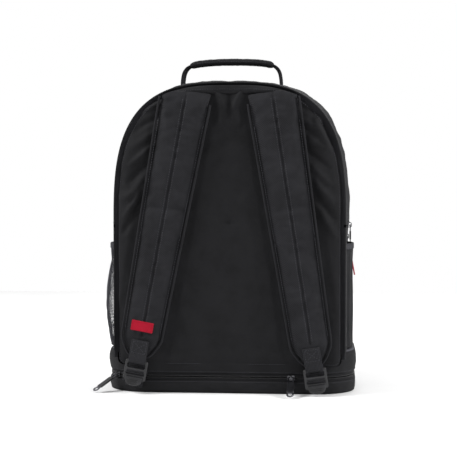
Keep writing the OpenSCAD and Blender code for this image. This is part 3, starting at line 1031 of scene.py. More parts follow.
@dataclass
class PackShell:
    """The main body: back panel, side and top walls, piping, yoke and lining."""

    sewing: Sewing
    back: float = -98 * MM
    wall: float = 2.5 * MM
    back_foot: float = 38 * MM
    foot: float = 62 * MM
    wall_bulge: float = 2.0 * MM
    belly: float = 4.0 * MM
    yoke_seam: float = 444 * MM
    edge_roll: float = 16 * MM
    roll_depth: float = 4.5 * MM
    pad_depth: float = 9 * MM
    stitch_inset: float = 9 * MM
    pocket_top: float = 222 * MM
    shoulder_z: float = 400 * MM
    strap_tops: tuple[float, float] = (-61 * MM, 64 * MM)
    strap_spread: float = 36 * MM
    pinch_x: float = 1 * MM
    straps: tuple[Fold, ...] = (
        Fold((-0.061, 0.446), (-0.134, 0.052), 0.040, 0.0),
        Fold((0.064, 0.446), (0.126, 0.043), 0.040, 0.0),
    )
    folds: tuple[Fold, ...] = (
        Fold((-0.020, 0.448), (-0.003, 0.418), 0.0040, 0.0042),
        Fold((0.020, 0.448), (0.004, 0.416), 0.0040, 0.0046),
        Fold((0.000, 0.446), (0.001, 0.405), 0.0045, -0.0040),
        Fold((-0.010, 0.430), (-0.016, 0.396), 0.0040, 0.0026),
        Fold((0.012, 0.428), (0.019, 0.398), 0.0040, 0.0024),
        Fold((-0.012, 0.404), (0.020, 0.396), 0.0060, 0.0022),
        Fold((-0.026, 0.372), (0.018, 0.384), 0.0070, -0.0018),
        Fold((0.138, 0.398), (0.158, 0.356), 0.0035, -0.0052),
        Fold((0.128, 0.402), (0.152, 0.356), 0.0042, 0.0046),
        Fold((-0.160, 0.290), (-0.130, 0.300), 0.0060, 0.0024),
        Fold((-0.060, 0.100), (0.060, 0.085), 0.0080, 0.0018),
        Fold((-0.150, 0.062), (-0.060, 0.052), 0.0060, 0.0020),
        Fold((0.060, 0.052), (0.150, 0.062), 0.0060, 0.0018),
    )

    def __post_init__(self) -> None:
        """Reads the arch off the frame."""
        self.arch = Arch.around("back_piping", self.foot)

    def back_panel(self) -> None:
        """Makes the padded back panel: a blown-up pad with slack folds in its cover."""
        arch = Arch(self.arch.half - 2.6 * MM, self.arch.top - 2.6 * MM, self.back_foot)
        edge = arch.outline(self.back, corner=9 * MM, step=5 * MM)
        front = ((0.0, 6 * MM), (0.004, 8 * MM), *((share, self.pad_depth) for share in (0.012, 0.3, 0.6)))
        rear = ((0.0, 5 * MM), (0.01, 1 * MM), (0.5, 1 * MM))
        body = dish("back_panel_pad", [p + Vector((0, 10 * MM, 0)) for p in edge], Vector((0, -1, 0)), front, rear,
                    lambda q: 0.0, PANEL_CLOTH.material(Follow.SPACE))
        Pad(cap=2.5 * MM).blown(body)
        folds = self.folds + self.shoulder_folds()
        for v in body.data.vertices:
            x, z = v.co.x, v.co.z
            facing = clamp((self.back + 7 * MM - v.co.y) / (5 * MM))
            slack = crease(v.co, 0.05, 2.4 * MM, 3.0, (1.0, 1.0, 1.8)) + crease(v.co, 0.016, 0.7 * MM, 9.0)
            slack += sum(f.at(x, z) for f in folds)
            roll = self.roll_depth * max(0.0, 1 - self.edge_gap(x, z) / self.edge_roll) ** 2
            clear = clamp((min(f.gap(x, z) for f in self.straps) - 40 * MM) / (7 * MM))
            v.co.y += facing * (1.3 * MM + roll - slack - 1.2 * MM * clear)
            v.co.y = max(self.back - (2.7 + 4.2 * clear) * MM, v.co.y)
            if z < self.foot:
                v.co.y = min(v.co.y, self.back + 3.6 * MM)
            v.co.y = min(v.co.y, self.back + 10.2 * MM)
        dress(body, "pack", "pack_fabric", "back_panel_cover", "back_foam")
        seam = Arch(self.arch.half - self.stitch_inset, self.arch.top - self.stitch_inset, self.back_foot + 6 * MM)
        line = [self.on_panel(body, p) for p in seam.outline(self.back, corner=7 * MM, step=1.8 * MM)]
        self.sewing.sew("back_panel_stitches", [line], "pack")

    def edge_gap(self, x: float, z: float) -> float:
        """Gives about how far a place on the panel lies in from its arched edge."""
        arch = self.arch
        if z <= arch.bend:
            return arch.half - abs(x)
        share = ((abs(x) / arch.half) ** 3 + ((z - arch.bend) / (arch.top - arch.bend)) ** 3) ** (1 / 3)
        return (1 - share) * math.hypot(x, z - arch.bend)

    @staticmethod
    def shoulder_folds() -> tuple[Fold, ...]:
        """Gives the fan of folds that the straps pull into the cover at each shoulder."""
        folds = []
        for sx, first in ((-1, 0.432), (1, 0.428)):
            for k in range(8):
                z = first - 0.021 * k
                height = (4.2 * MM, -3.4 * MM, 3.0 * MM)[(k + (sx > 0)) % 3]
                folds.append(Fold((sx * (0.096 + 0.0045 * k), z), (sx * (0.140 + 0.003 * k), z - 0.018 - 0.005 * k),
                                  0.0042 + 0.0006 * (k % 3), height))
        return tuple(folds)

    @staticmethod
    def on_panel(panel: Object, p: Vector) -> Vector:
        """Finds the panel's face in front of a place."""
        hit, where, _, _ = panel.ray_cast(Vector((p.x, -0.2, p.z)), DEEP)
        return where + Vector((0, -0.1 * MM, 0)) if hit else p

    def lining(self) -> None:
        """Makes the lining behind the back panel."""
        low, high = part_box("back_lining")
        edge = Arch.around("back_lining").outline(high.y, step=6 * MM)
        thick = high.y - low.y
        dress(dish("back_lining_sheet", edge, DEEP,
                   ((0.0, 0.0), *((share, 0.3 * MM) for share in (0.1, 0.2, 0.4, 0.6, 0.8))),
                   ((0.0, -thick), (0.5, -thick)), lambda q: crease(q, 0.05, 0.8 * MM, 2.0),
                   LINING_CLOTH.material()), "pack", "lining", "back_lining")

    def piping(self) -> None:
        """Makes the bound cord round the back panel's edge."""
        arch = self.arch.inset(1.6 * MM)
        cord, flange = 1.5 * MM, 9 * MM

        def section(run: float, p: Vector) -> list[tuple[float, float]]:
            """Gives the cord's round section with its flat flange, which is sewn into the seam."""
            bead = [(cord * math.cos(a), cord * math.sin(a))
                    for a in (math.radians(-160 + 32 * k) for k in range(11))]
            return bead + [(-flange, cord * 0.9), (-flange, cord * 0.2)]

        dress(sweep("back_edge_piping", arch.line(self.back + 3.9 * MM, 3 * MM, self.back_foot + 14 * MM),
                    DEEP, section, BINDING_CLOTH.material()), "pack", "piping", "back_piping")

    def walls(self) -> None:
        """Makes the two side walls and the crown's wall, with slack creases near the shoulders."""
        line = self.arch.line(0.0, 4 * MM)
        low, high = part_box("top_gusset")

        def wrinkle(run: float, q: Vector, share: float) -> float:
            """Gives the height of the wall's wrinkles."""
            shoulder = bell(q.z - self.shoulder_z, 70 * MM)
            above = clamp((q.z - self.pocket_top) / (30 * MM))
            slack = crease(q, 0.045, 3.2 * MM, 4.0, (1, 2.2, 1)) * (0.35 + 0.65 * above)
            return (self.belly * above * math.sin(math.pi * share) + slack + crease(q, 0.012, 0.6 * MM, 1.0)
                    + shoulder * crease(q, 0.018, 2.8 * MM, 8.0, (1, 3, 1)))

        section = wall_section(low.y - 1.4 * MM, high.y, self.wall, self.wall_bulge, wrinkle, 1, 36)
        bend = self.arch.bend
        first = next(i for i, p in enumerate(line) if p.z > bend)
        last = len(line) - next(i for i, p in enumerate(reversed(line)) if p.z > bend)
        spans = {"left_side_wall": ("left_side_panel", line[:first + 1]),
                 "crown_wall": ("top_gusset", line[first - 1:last + 1]),
                 "right_side_wall": ("right_side_panel", line[last - 1:])}
        for name, (node, span) in spans.items():
            dress(sweep(name, span, DEEP, section, PACK_CLOTH.material()), "pack", "pack_fabric", node)
        swells = [(k / 40, math.sin(math.pi * k / 40)) for k in range(2, 39)]
        seams = [[Vector((sx * (self.arch.half + self.wall_bulge * swell ** 0.7 + self.belly * 0.93 * swell
                                + 0.6 * MM), low.y + (high.y - low.y) * share, bend + gap))
                  for share, swell in swells]
                 for sx in (-1, 1) for gap in (-2.5 * MM, 2.5 * MM)]
        self.sewing.sew("side_seam_stitches", seams, "pack")

    def yoke(self) -> None:
        """Makes the yoke: a rolled band that holds the tops of the two straps."""
        arch = Arch(self.arch.half - 5 * MM, self.arch.top - 5 * MM, self.foot)
        path = [p for p in arch.line(0.0, 2.5 * MM) if p.z > self.yoke_seam + 1.0 * MM]
        count = len(path)
        points = []
        rows = 12
        size = 2 * rows + 2
        for i, p in enumerate(path):
            reach = min(1.0, 6 * i / count, 6 * (count - 1 - i) / count)
            strap = max(bell(p.x - x, self.strap_spread, 4) for x in self.strap_tops)
            pinch = bell(p.x - self.pinch_x, 7 * MM)
            for k in range(size):
                front = k <= rows
                share = k / rows if front else (size - 1 - k) / rows
                z = self.yoke_seam + (p.z - self.yoke_seam) * share - 1.2 * MM * (1 - share)
                roll = math.sin(math.pi * min(1.0, 0.15 + 0.85 * (1 - share))) ** 0.6
                rise = (2.8 + 6.4 * strap * (1 - share) ** 0.8 - 1.6 * pinch) * MM
                rise *= (0.35 + 0.65 * roll) * (0.3 + 0.7 * reach)
                rise += crease(Vector((p.x, 0, z)), 0.012, 0.9 * MM, 6.0)
                y = self.back - 0.8 * MM - max(0.6 * MM, rise) if front else self.back - 0.2 * MM
                points.append(Vector((p.x, y, z)))
        faces = tube_faces(count, size)
        uvs = [[(points[i].x, points[i].z) for i in face] for face in faces]
        dress(make_piece("yoke_band", points, faces, PACK_CLOTH.material(), uvs), "pack", "pack_fabric", "yoke_panel")
        sewn = [points[i * size + rows // 2] + Vector((0, -0.3 * MM, 0)) for i in range(4, count - 4)]
        self.sewing.sew("yoke_stitches", [sewn], "pack")

    def build(self) -> None:
        """Builds every piece of the shell."""
        self.back_panel()
        self.lining()
        self.piping()
        self.walls()
        self.yoke()


@dataclass
class SidePocket:
    """An open pocket on one side: a closed pleated one, or one of net."""

    sewing: Sewing
    side: Side
    node: str
    hem_node: str
    netted: bool
    corner: float = 22 * MM

    def __post_init__(self) -> None:
        """Reads the pocket's box off the frame."""
        self.low, self.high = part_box(self.node)
        reach = max(abs(self.low.x), abs(self.high.x))
        self.inner = min(abs(self.low.x), abs(self.high.x))
        sx = self.side.value
        ends = [(self.inner, self.low.y), (reach, self.low.y + self.corner),
                (reach, self.high.y - self.corner), (self.inner, self.high.y)]
        if self.side is Side.LEFT:
            ends = ends[::-1]
        self.path = curve_through([Vector((sx * x, y, 0)) for x, y in ends], 3 * MM, rounds=3)

    def bulge(self, share: float) -> float:
        """Gives how far the pocket stands out, from its floor to its hem."""
        belly = math.sin(math.pi * min(1.0, share * 1.15)) ** 0.8
        return (-0.6 + 7.5 * belly) * MM if self.netted else (-2.2 + 1.6 * belly) * MM

    def wall(self) -> None:
        """Makes the pocket's wall and floor."""
        height = self.high.z - self.low.z
        if self.netted:
            sheet = self.net_sheet(height)
            net = self.sewing.net_of("net_pocket_weave", sheet, 0.34 * MM)
            floor_height = 9 * MM
            strip = sweep("net_pocket_foot", [p + Vector((0, 0, self.low.z)) for p in self.path], UP,
                          wall_section(0.0, floor_height, 1.2 * MM, 0.2 * MM, lambda r, q, s: 0.0, 2, 4),
                          BINDING_CLOTH.material())
            dress(joined("net_pocket", [net, strip]), "pack", "mesh", self.node)
            return

        def wrinkle(run: float, q: Vector, share: float) -> float:
            """Gives the pleats, deepest near the floor and the hem."""
            depth = 1.3 * MM * (0.35 + 0.65 * abs(2 * share - 1))
            return depth * math.sin(run * math.tau / (13 * MM) + 1.5 * math.sin(share * 4)) + crease(
                q + Vector((0, run, 0)), 0.03, 1.2 * MM, 12.0, (1, 1, 3)) + self.bulge(share)

        section = wall_section(self.low.z, self.high.z, 1.6 * MM, 0.0, wrinkle, 2, 34)
        dress(sweep("pleated_pocket", self.path, UP, section, PACK_CLOTH.material()),
              "pack", "pack_fabric", self.node)

    def net_sheet(self, height: float) -> Object:
        """Lays out the net's knots as a mesh of diamonds, with its edges where the yarns run."""
        rows = int(height / (2.3 * MM))
        line = even(self.path, 4.2 * MM)
        knots = even(self.path, 2.1 * MM)
        points, index, edges = [], {}, []
        out = Vector((self.side.value, 0, 0))
        for r in range(rows + 1):
            share = r / rows
            for place in range(r % 2, min(len(knots), 2 * len(line)), 2):
                p = knots[place]
                belly = self.bulge(share) + crease(Vector((0, p.y, share * height)), 0.05, 3.0 * MM, 21.0)
                inside = min(1.0, 8 * (abs(p.x) - self.inner) / max(1e-6, abs(self.high.x - self.low.x)))
                index[(r, place)] = len(points)
                points.append(p + out * belly * max(0.0, inside) + Vector((0, 0, self.low.z + height * share)))
        for (r, place), i in index.items():
            for step in (-1, 1):
                j = index.get((r + 1, place + step))
                if j is not None:
                    edges.append((i, j))
        mesh = bpy.data.meshes.new("net_layout")
        mesh.from_pydata([tuple(p) for p in points], edges, [])
        return link("net_layout", mesh)

    def hem(self) -> None:
        """Makes the elastic hem, gathered along its length."""
        name = "net_pocket_hem" if self.netted else "pleated_pocket_hem"
        low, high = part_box(self.hem_node)

        def section(run: float, p: Vector) -> list[tuple[float, float]]:
            """Gives the hem's rounded section, pulled in by its elastic."""
            gather = 0.45 * MM * math.sin(run * math.tau / (5.5 * MM))
            return [(a - 0.8 * MM + gather, low.z + b + (high.z - low.z) / 2)
                    for a, b in rounded_box(2.8 * MM, high.z - low.z, 1.2 * MM, count=3)]

        dress(sweep(name, even(self.path, 1.2 * MM), UP, section, HEM_CLOTH.material()),
              "pack", "hem_binding", self.hem_node)

    def build(self) -> None:
        """Builds the pocket and its hem."""
        self.wall()
        self.hem()


# ------------------------------------------------------------------ zips

@dataclass
class ZipHalf:
    """One half of a zip: its woven tape and, along the edge, its coil."""

    sewing: Sewing
    name: str
    node: str
    body: str
    line: list[Vector]
    across: Vector
    side: int
    closed: bool = False
    slit: float = 1.2 * MM
    coil: float = 1.4 * MM
    width: float = 5.4 * MM

    def build(self) -> None:
        """Builds the half zip."""
        inner = self.slit / 2 + self.coil * 0.5
        outer = self.width + 0.4 * MM
        middle = self.side * (inner + outer) / 2
        flat = rounded_box(0.9 * MM, outer - inner, 0.35 * MM, (0.0, middle), 2)
        tape = sweep(self.name, self.line, self.across, lambda run, p: flat, TAPE_CLOTH.material(), self.closed)
        shift = self.across * self.side * (self.slit / 2 + self.coil / 2)
        turns = [p + shift for p in self.line] + ([self.line[0] + shift] if self.closed else [])
        coil = self.sewing.coil(self.name + "_coil", turns, 0.95 * MM)
        dress(joined(self.name, [tape, coil]), self.body, "zip_chain", self.node)


@dataclass
class Zips:
    """Every zip on the pack."""

    sewing: Sewing
    main_y: float = 58 * MM
    racket_y: float = 81.6 * MM
    base_z: float = 24 * MM
    half_wall: float = 1.25 * MM

    def build(self) -> None:
        """Builds the two halves of each zip."""
        main = Arch.around("top_gusset", 65 * MM).inset(self.half_wall).line(self.main_y, 3 * MM)
        racket = Arch.around("racket_pocket_cover").inset(self.half_wall).line(self.racket_y, 3 * MM)
        base = BaseForm.around("base_bottom_panel").loop(self.half_wall, self.base_z, 3 * MM)
        for name, node, body, line, across, side, closed in (
                ("main_zip_rear_half", "main_zip_rear", "pack", main, DEEP, -1, False),
                ("main_zip_front_half", "main_zip_front", "front_panel", main, DEEP, 1, False),
                ("racket_zip_rear_half", "racket_zip_rear", "front_panel", racket, DEEP, -1, False),
                ("racket_zip_front_half", "racket_zip_front", "racket_pocket", racket, DEEP, 1, False),
                ("base_zip_upper_half", "base_zip_upper", "pack", base, UP, 1, True),
                ("base_zip_lower_half", "base_zip_lower", "base_tray", base, UP, -1, True)):
            ZipHalf(self.sewing, name, node, body, line, across, side, closed).build()
        self.accessory()

    def accessory(self) -> None:
        """Builds the flat zip on the accessory pocket, whose two halves stay on one tape."""
        low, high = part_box("accessory_zip")
        z, y = (low.z + high.z) / 2, low.y
        line = even([Vector((low.x, y + 0.5 * MM, z)), Vector((high.x, y + 0.5 * MM, z))], 4 * MM)
        tape = sweep("accessory_zip_tape", line, UP, ribbon_section(high.z - low.z, 0.9 * MM),
                     TAPE_CLOTH.material())
        coils = [self.sewing.coil("accessory_coil", [p + Vector((0, 0.9 * MM, s * 1.3 * MM)) for p in line], 0.8 * MM)
                 for s in (-1, 1)]
        dress(joined("accessory_zip_tape", [tape, *coils]), "racket_pocket", "zip_chain", "accessory_zip")


# ------------------------------------------------------------------ base and front

@dataclass
class BaseCompartment:
    """The zipped space under the pack: an upper band on the pack, and a tray that drops open."""

    sewing: Sewing
    wall: float = 2.5 * MM

    def __post_init__(self) -> None:
        """Reads the outline off the frame."""
        self.form = BaseForm.around("base_bottom_panel")

    def band(self, name: str, node: str, body: str, bulge: float, seed: float) -> None:
        """Makes one band of the base's wall.

        Args:
            name: the piece's name.
            node: the frame's node that it stands for.
            body: its body.
            bulge: how far it stands out.
            seed: picks its wrinkles.
        """
        low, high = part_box(node)

        def wrinkle(run: float, q: Vector, share: float) -> float:
            """Gives the height of the band's wrinkles."""
            return crease(q, 0.035, 1.8 * MM, seed, (1, 1, 0.6)) + crease(q, 0.012, 0.5 * MM, seed)

        section = wall_section(low.z, high.z, self.wall, bulge, wrinkle, 2, 12)
        dress(sweep(name, self.form.loop(0.0, 0.0), UP, section, PACK_CLOTH.material(), True),
              body, "pack_fabric", node)
        row_z = low.z + 2.2 * MM if node == "base_upper_band" else high.z - 2.0 * MM
        row = self.form.loop(-0.9 * MM, row_z, 2 * MM)
        self.sewing.sew(name + "_stitches", [row + row[:1]], body)

    def floor(self, name: str, node: str, body: str, slot: str, material: Material, up: bool,
              slack: float) -> None:
        """Makes one of the flat sheets: the underside, its board, or the floor between the two spaces."""
        low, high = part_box(node)
        form = BaseForm(high.x, low.y, high.y, self.form.radius - (self.form.half - high.x))
        thick = high.z - low.z
        edge = form.loop(0.0, low.z if up else high.z, 5 * MM)
        out = Vector((0, 0, 1 if up else -1))
        rings = ((0.0, thick * 0.6), *((share, thick) for share in (0.006, 0.1, 0.3, 0.5, 0.7, 0.85)))
        dress(dish(name, edge, out, rings,
                   ((0.0, thick * 0.3), (0.006, 0.0), (0.5, 0.0)),
                   lambda q: min(0.0, crease(q, 0.06, slack, 14.0)), material), body, slot, node)

    def build(self) -> None:
        """Builds the bands and floors."""
        self.band("base_upper_wall", "base_upper_band", "pack", 2.4 * MM, 31.0)
        self.band("base_lower_wall", "base_lower_band", "base_tray", 1.2 * MM, 37.0)
        self.floor("base_underside", "base_bottom_panel", "base_tray", "pack_fabric", PACK_CLOTH.material(), False,
                   0.3 * MM)
        self.floor("base_stiffener", "base_board", "base_tray", "board", BOARD.material(), True, 0.1 * MM)
        self.floor("dividing_floor", "divider_floor", "pack", "lining", LINING_CLOTH.material(), True, 0.8 * MM)


@dataclass
class FrontPanel:
    """The front wall with its gusset, and the padded racket pocket on it."""

    sewing: Sewing
    wall: float = 2.5 * MM

    def face(self) -> None:
        """Makes the front wall and the narrow gusset round it."""
        low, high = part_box("front_wall")
        edge = Arch(high.x + 0.9 * MM, high.z + 0.9 * MM, low.z).outline(low.y, corner=10 * MM, step=6 * MM)
        rings = ((0.0, self.wall * 0.8), *((0.04 * k, self.wall) for k in range(1, 20)))
        dress(dish("front_wall_sheet", edge, DEEP, rings,
                   ((0.0, 0.4 * MM), (0.02, 0.0), (0.5, 0.0)),
                   lambda q: min(0.6 * MM, crease(q, 0.05, 1.6 * MM, 41.0)), PACK_CLOTH.material()),
              "front_panel", "pack_fabric", "front_wall")
        low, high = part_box("front_gusset")
        arch = Arch(high.x, high.z, low.z)

        def wrinkle(run: float, q: Vector, share: float) -> float:
            """Gives the height of the gusset's wrinkles."""
            return crease(q, 0.03, 0.9 * MM, 43.0)

        dress(sweep("front_gusset_wall", arch.line(0.0), DEEP,
                    wall_section(low.y, high.y, self.wall, 0.8 * MM, wrinkle, 1, 8), PACK_CLOTH.material()),
              "front_panel", "pack_fabric", "front_gusset")
        seam = Arch(high.x + 0.5 * MM, high.z + 0.5 * MM, low.z).line(high.y - 1.6 * MM, 2 * MM)
        self.sewing.sew("front_gusset_stitches", [seam], "front_panel")

    def racket_pocket(self) -> None:
        """Makes the pocket's padded shell: its wall turns over a soft edge into a crowned face."""
        low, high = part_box("racket_pocket_cover")
        depth = high.y - low.y
        edge = Arch(high.x, high.z, low.z).outline(low.y, corner=26 * MM, step=5 * MM)
        bend = 0.055
        rim = [(0.0, 0.0), (-0.004, depth * 0.25), (-0.005, depth * 0.5)]
        round_edge = [(bend * (1 - math.cos(a)), depth * 0.5 + (depth * 0.5 - 0.5 * MM) * math.sin(a))
                      for a in (math.pi / 2 * k / 8 for k in range(1, 9))]
        face = [(bend + 0.04 * k, depth - 0.5 * MM + 0.6 * MM * math.sin(min(1.0, k / 6) * math.pi / 2))
                for k in range(1, 23)]
        rear = [(0.018, 0.0), (0.018, depth * 0.6), (0.03, depth - self.wall - 4.5 * MM), (0.4, depth - 6.5 * MM)]

        def relief(q: Vector) -> float:
            """Gives the pocket face's slack folds."""
            return crease(q, 0.06, 2.4 * MM, 51.0, (1.6, 1, 1)) + crease(q, 0.02, 0.8 * MM, 53.0) - 0.8 * MM

        def gated(q: Vector) -> float:
            """Keeps the folds off the zip."""
            inside = min(1.0, abs(abs(q.x) - high.x) / (18 * MM))
            crown = clamp((high.z - q.z) / (40 * MM))
            return relief(q) * inside * crown

        shell = dish("racket_pocket_shell", edge, DEEP, rim + round_edge + face, rear, gated,
                     PACK_CLOTH.material())
        dress(shell, "racket_pocket", "pack_fabric", "racket_pocket_cover", "racket_padding")
        seam = Arch(high.x - 11 * MM, high.z - 11 * MM, low.z + 11 * MM).outline(0.2, corner=20 * MM, step=1.8 * MM)
        line = []
        for p in seam:
            hit, where, _, _ = shell.ray_cast(p, Vector((0, -1, 0)))
            line.append(where + Vector((0, 0.2 * MM, 0)) if hit else Vector((p.x, high.y, p.z)))
        self.sewing.sew("racket_pocket_stitches", [line], "racket_pocket")

    def accessory_pocket(self) -> None:
        """Makes the flat pocket on the racket pocket."""
        low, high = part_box("accessory_pocket")
        width, height = high.x - low.x, high.z - low.z
        z = (high.z + low.z) / 2
        edge = even([Vector((x, low.y - 1.2 * MM, y)) for x, y in rounded_box(width, height, 24 * MM, (0, z), 8)],
                    4 * MM, closed=True)
        thick = high.y - low.y + 1.2 * MM
        ring = ((0.0, 0.4 * thick), (0.006, 0.8 * thick), (0.014, thick)) + tuple((0.05 * k, thick)
                                                                                  for k in range(1, 19))
        zip_z = high.z - 26 * MM

        def relief(q: Vector) -> float:
            """Gives the slack of the pocket, none of it under the zip."""
            clear = min(1.0, abs(q.z - zip_z) / (14 * MM)) ** 2
            return min(0.0, crease(q, 0.04, 1.4 * MM, 61.0)) * clear

        dress(dish("accessory_pocket_sheet", edge, DEEP, ring, ((0.0, 0.2 * MM), (0.02, 0.0), (0.5, 0.0)),
                   relief, PACK_CLOTH.material()), "racket_pocket", "pack_fabric", "accessory_pocket")
        rows = [even([Vector((x, high.y + 0.1 * MM, y)) for x, y in rounded_box(width - 8 * MM, height - 8 * MM,
                                                                               20 * MM, (0, z), 8)], 2 * MM, True)]
        self.sewing.sew("accessory_pocket_stitches", rows, "racket_pocket")

    def build(self) -> None:
        """Builds the front."""
        self.face()
        self.racket_pocket()
        self.accessory_pocket()


# ------------------------------------------------------------------ carry handle

@dataclass
class CarryHandle:
    """A padded grip on two webbing legs, sewn to the crown."""

    sewing: Sewing
    y: float = -38 * MM
    foot_x: float = 75 * MM
    web_width: float = 16 * MM
    web: float = 2.2 * MM
    grip_reach: float = 63 * MM
    grip_height: float = 10 * MM
    grip_width: float = 21 * MM

    def spine(self) -> list[Vector]:
        """Follows the webbing from the left foot, under the grip, to the right foot."""
        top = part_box("carry_handle_grip")[1].z
        half = [Vector((self.foot_x - inward * MM, self.y, z)) for inward, z in (
            (0, 455 * MM), (0.5, 468 * MM), (3, 481 * MM), (12, 490 * MM), (36, top - 6.2 * MM))]
        half.append(Vector((0, self.y, top - 5.0 * MM)))
        left = [Vector((-p.x, p.y, p.z)) for p in half]
        return curve_through(left + half[-2::-1], 2 * MM)

    def feet(self) -> None:
        """Makes the two stitched patches on the crown."""
        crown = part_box("handle_feet")[1].z
        patches, rows = [], []
        for sx in (-1, 1):
            place = move(sx * self.foot_x, self.y, crown + 0.4 * MM) @ turn(9 * sx, "Y")
            patches.append(flat_part("foot", [rounded_box(20 * MM, self.web_width + 2 * MM, 2 * MM)], 2.0 * MM,
                                     0.6 * MM, place, WEBBING.material(Follow.SPACE)))
            rows.append(stitch_box(place, rounded_box(15 * MM, 13 * MM, 0.6 * MM, count=2), 1.1 * MM))
        dress(joined("handle_foot_patches", patches), "pack", "webbing", "handle_feet")
        self.sewing.sew("handle_foot_stitches", rows, "pack", "webbing")

    def legs(self) -> None:
        """Makes the webbing, which bends at the crown."""
        spine = self.spine()
        for sx, name in ((-1, "left_handle_leg"), (1, "right_handle_leg")):
            leg = [p for p in spine if p.x * sx > self.grip_reach - 8 * MM]
            piece = sweep(name, leg, Vector((-0.28 * sx, 1, 0)).normalized(),
                          ribbon_section(self.web_width, self.web), WEBBING.material())
            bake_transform(piece)
            if sx < 0:
                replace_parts(piece, "carry_handle_webbing")

    def grip(self) -> None:
        """Makes the rolled grip, with a seam underneath and soft wrinkles across it."""
        spine = [p for p in self.spine() if abs(p.x) <= self.grip_reach]

        def section(run: float, p: Vector) -> list[tuple[float, float]]:
            """Gives the grip's section, drawn in at its two ends."""
            near = max(0.0, 1 - (self.grip_reach - abs(p.x)) / (7 * MM))
            draw = math.sqrt(max(0.12, 1 - 0.75 * near ** 2))
            points = []
            for k in range(28):
                a = math.tau * k / 28
                c, s = math.cos(a), math.sin(a)
                x = self.grip_height / 2 * math.copysign(abs(c) ** 0.8, c) * draw
                y = self.grip_width / 2 * math.copysign(abs(s) ** 0.75, s) * (0.75 + 0.25 * draw)
                q = Vector((p.x, y, x))
                ridge = crease(q, 0.011, 0.8 * MM, 71.0, (0.5, 2, 2))
                points.append((x * (1 + ridge / (6 * MM)), y))
            return points

        grip = sweep("handle_grip_roll", even(spine, 2 * MM), DEEP, section,
                     PACK_CLOTH.material())
        dress(grip, "carry_handle", "grip", "carry_handle_grip")
        line = [p + Vector((0, -self.grip_width / 2 - 0.1 * MM, 0)) for p in spine[6:-6]]
        self.sewing.sew("handle_grip_stitches", [line], "carry_handle", "grip")

    def build(self) -> None:
        """Builds the handle."""
        self.feet()
        self.legs()
        self.grip()


# ------------------------------------------------------------------ harness

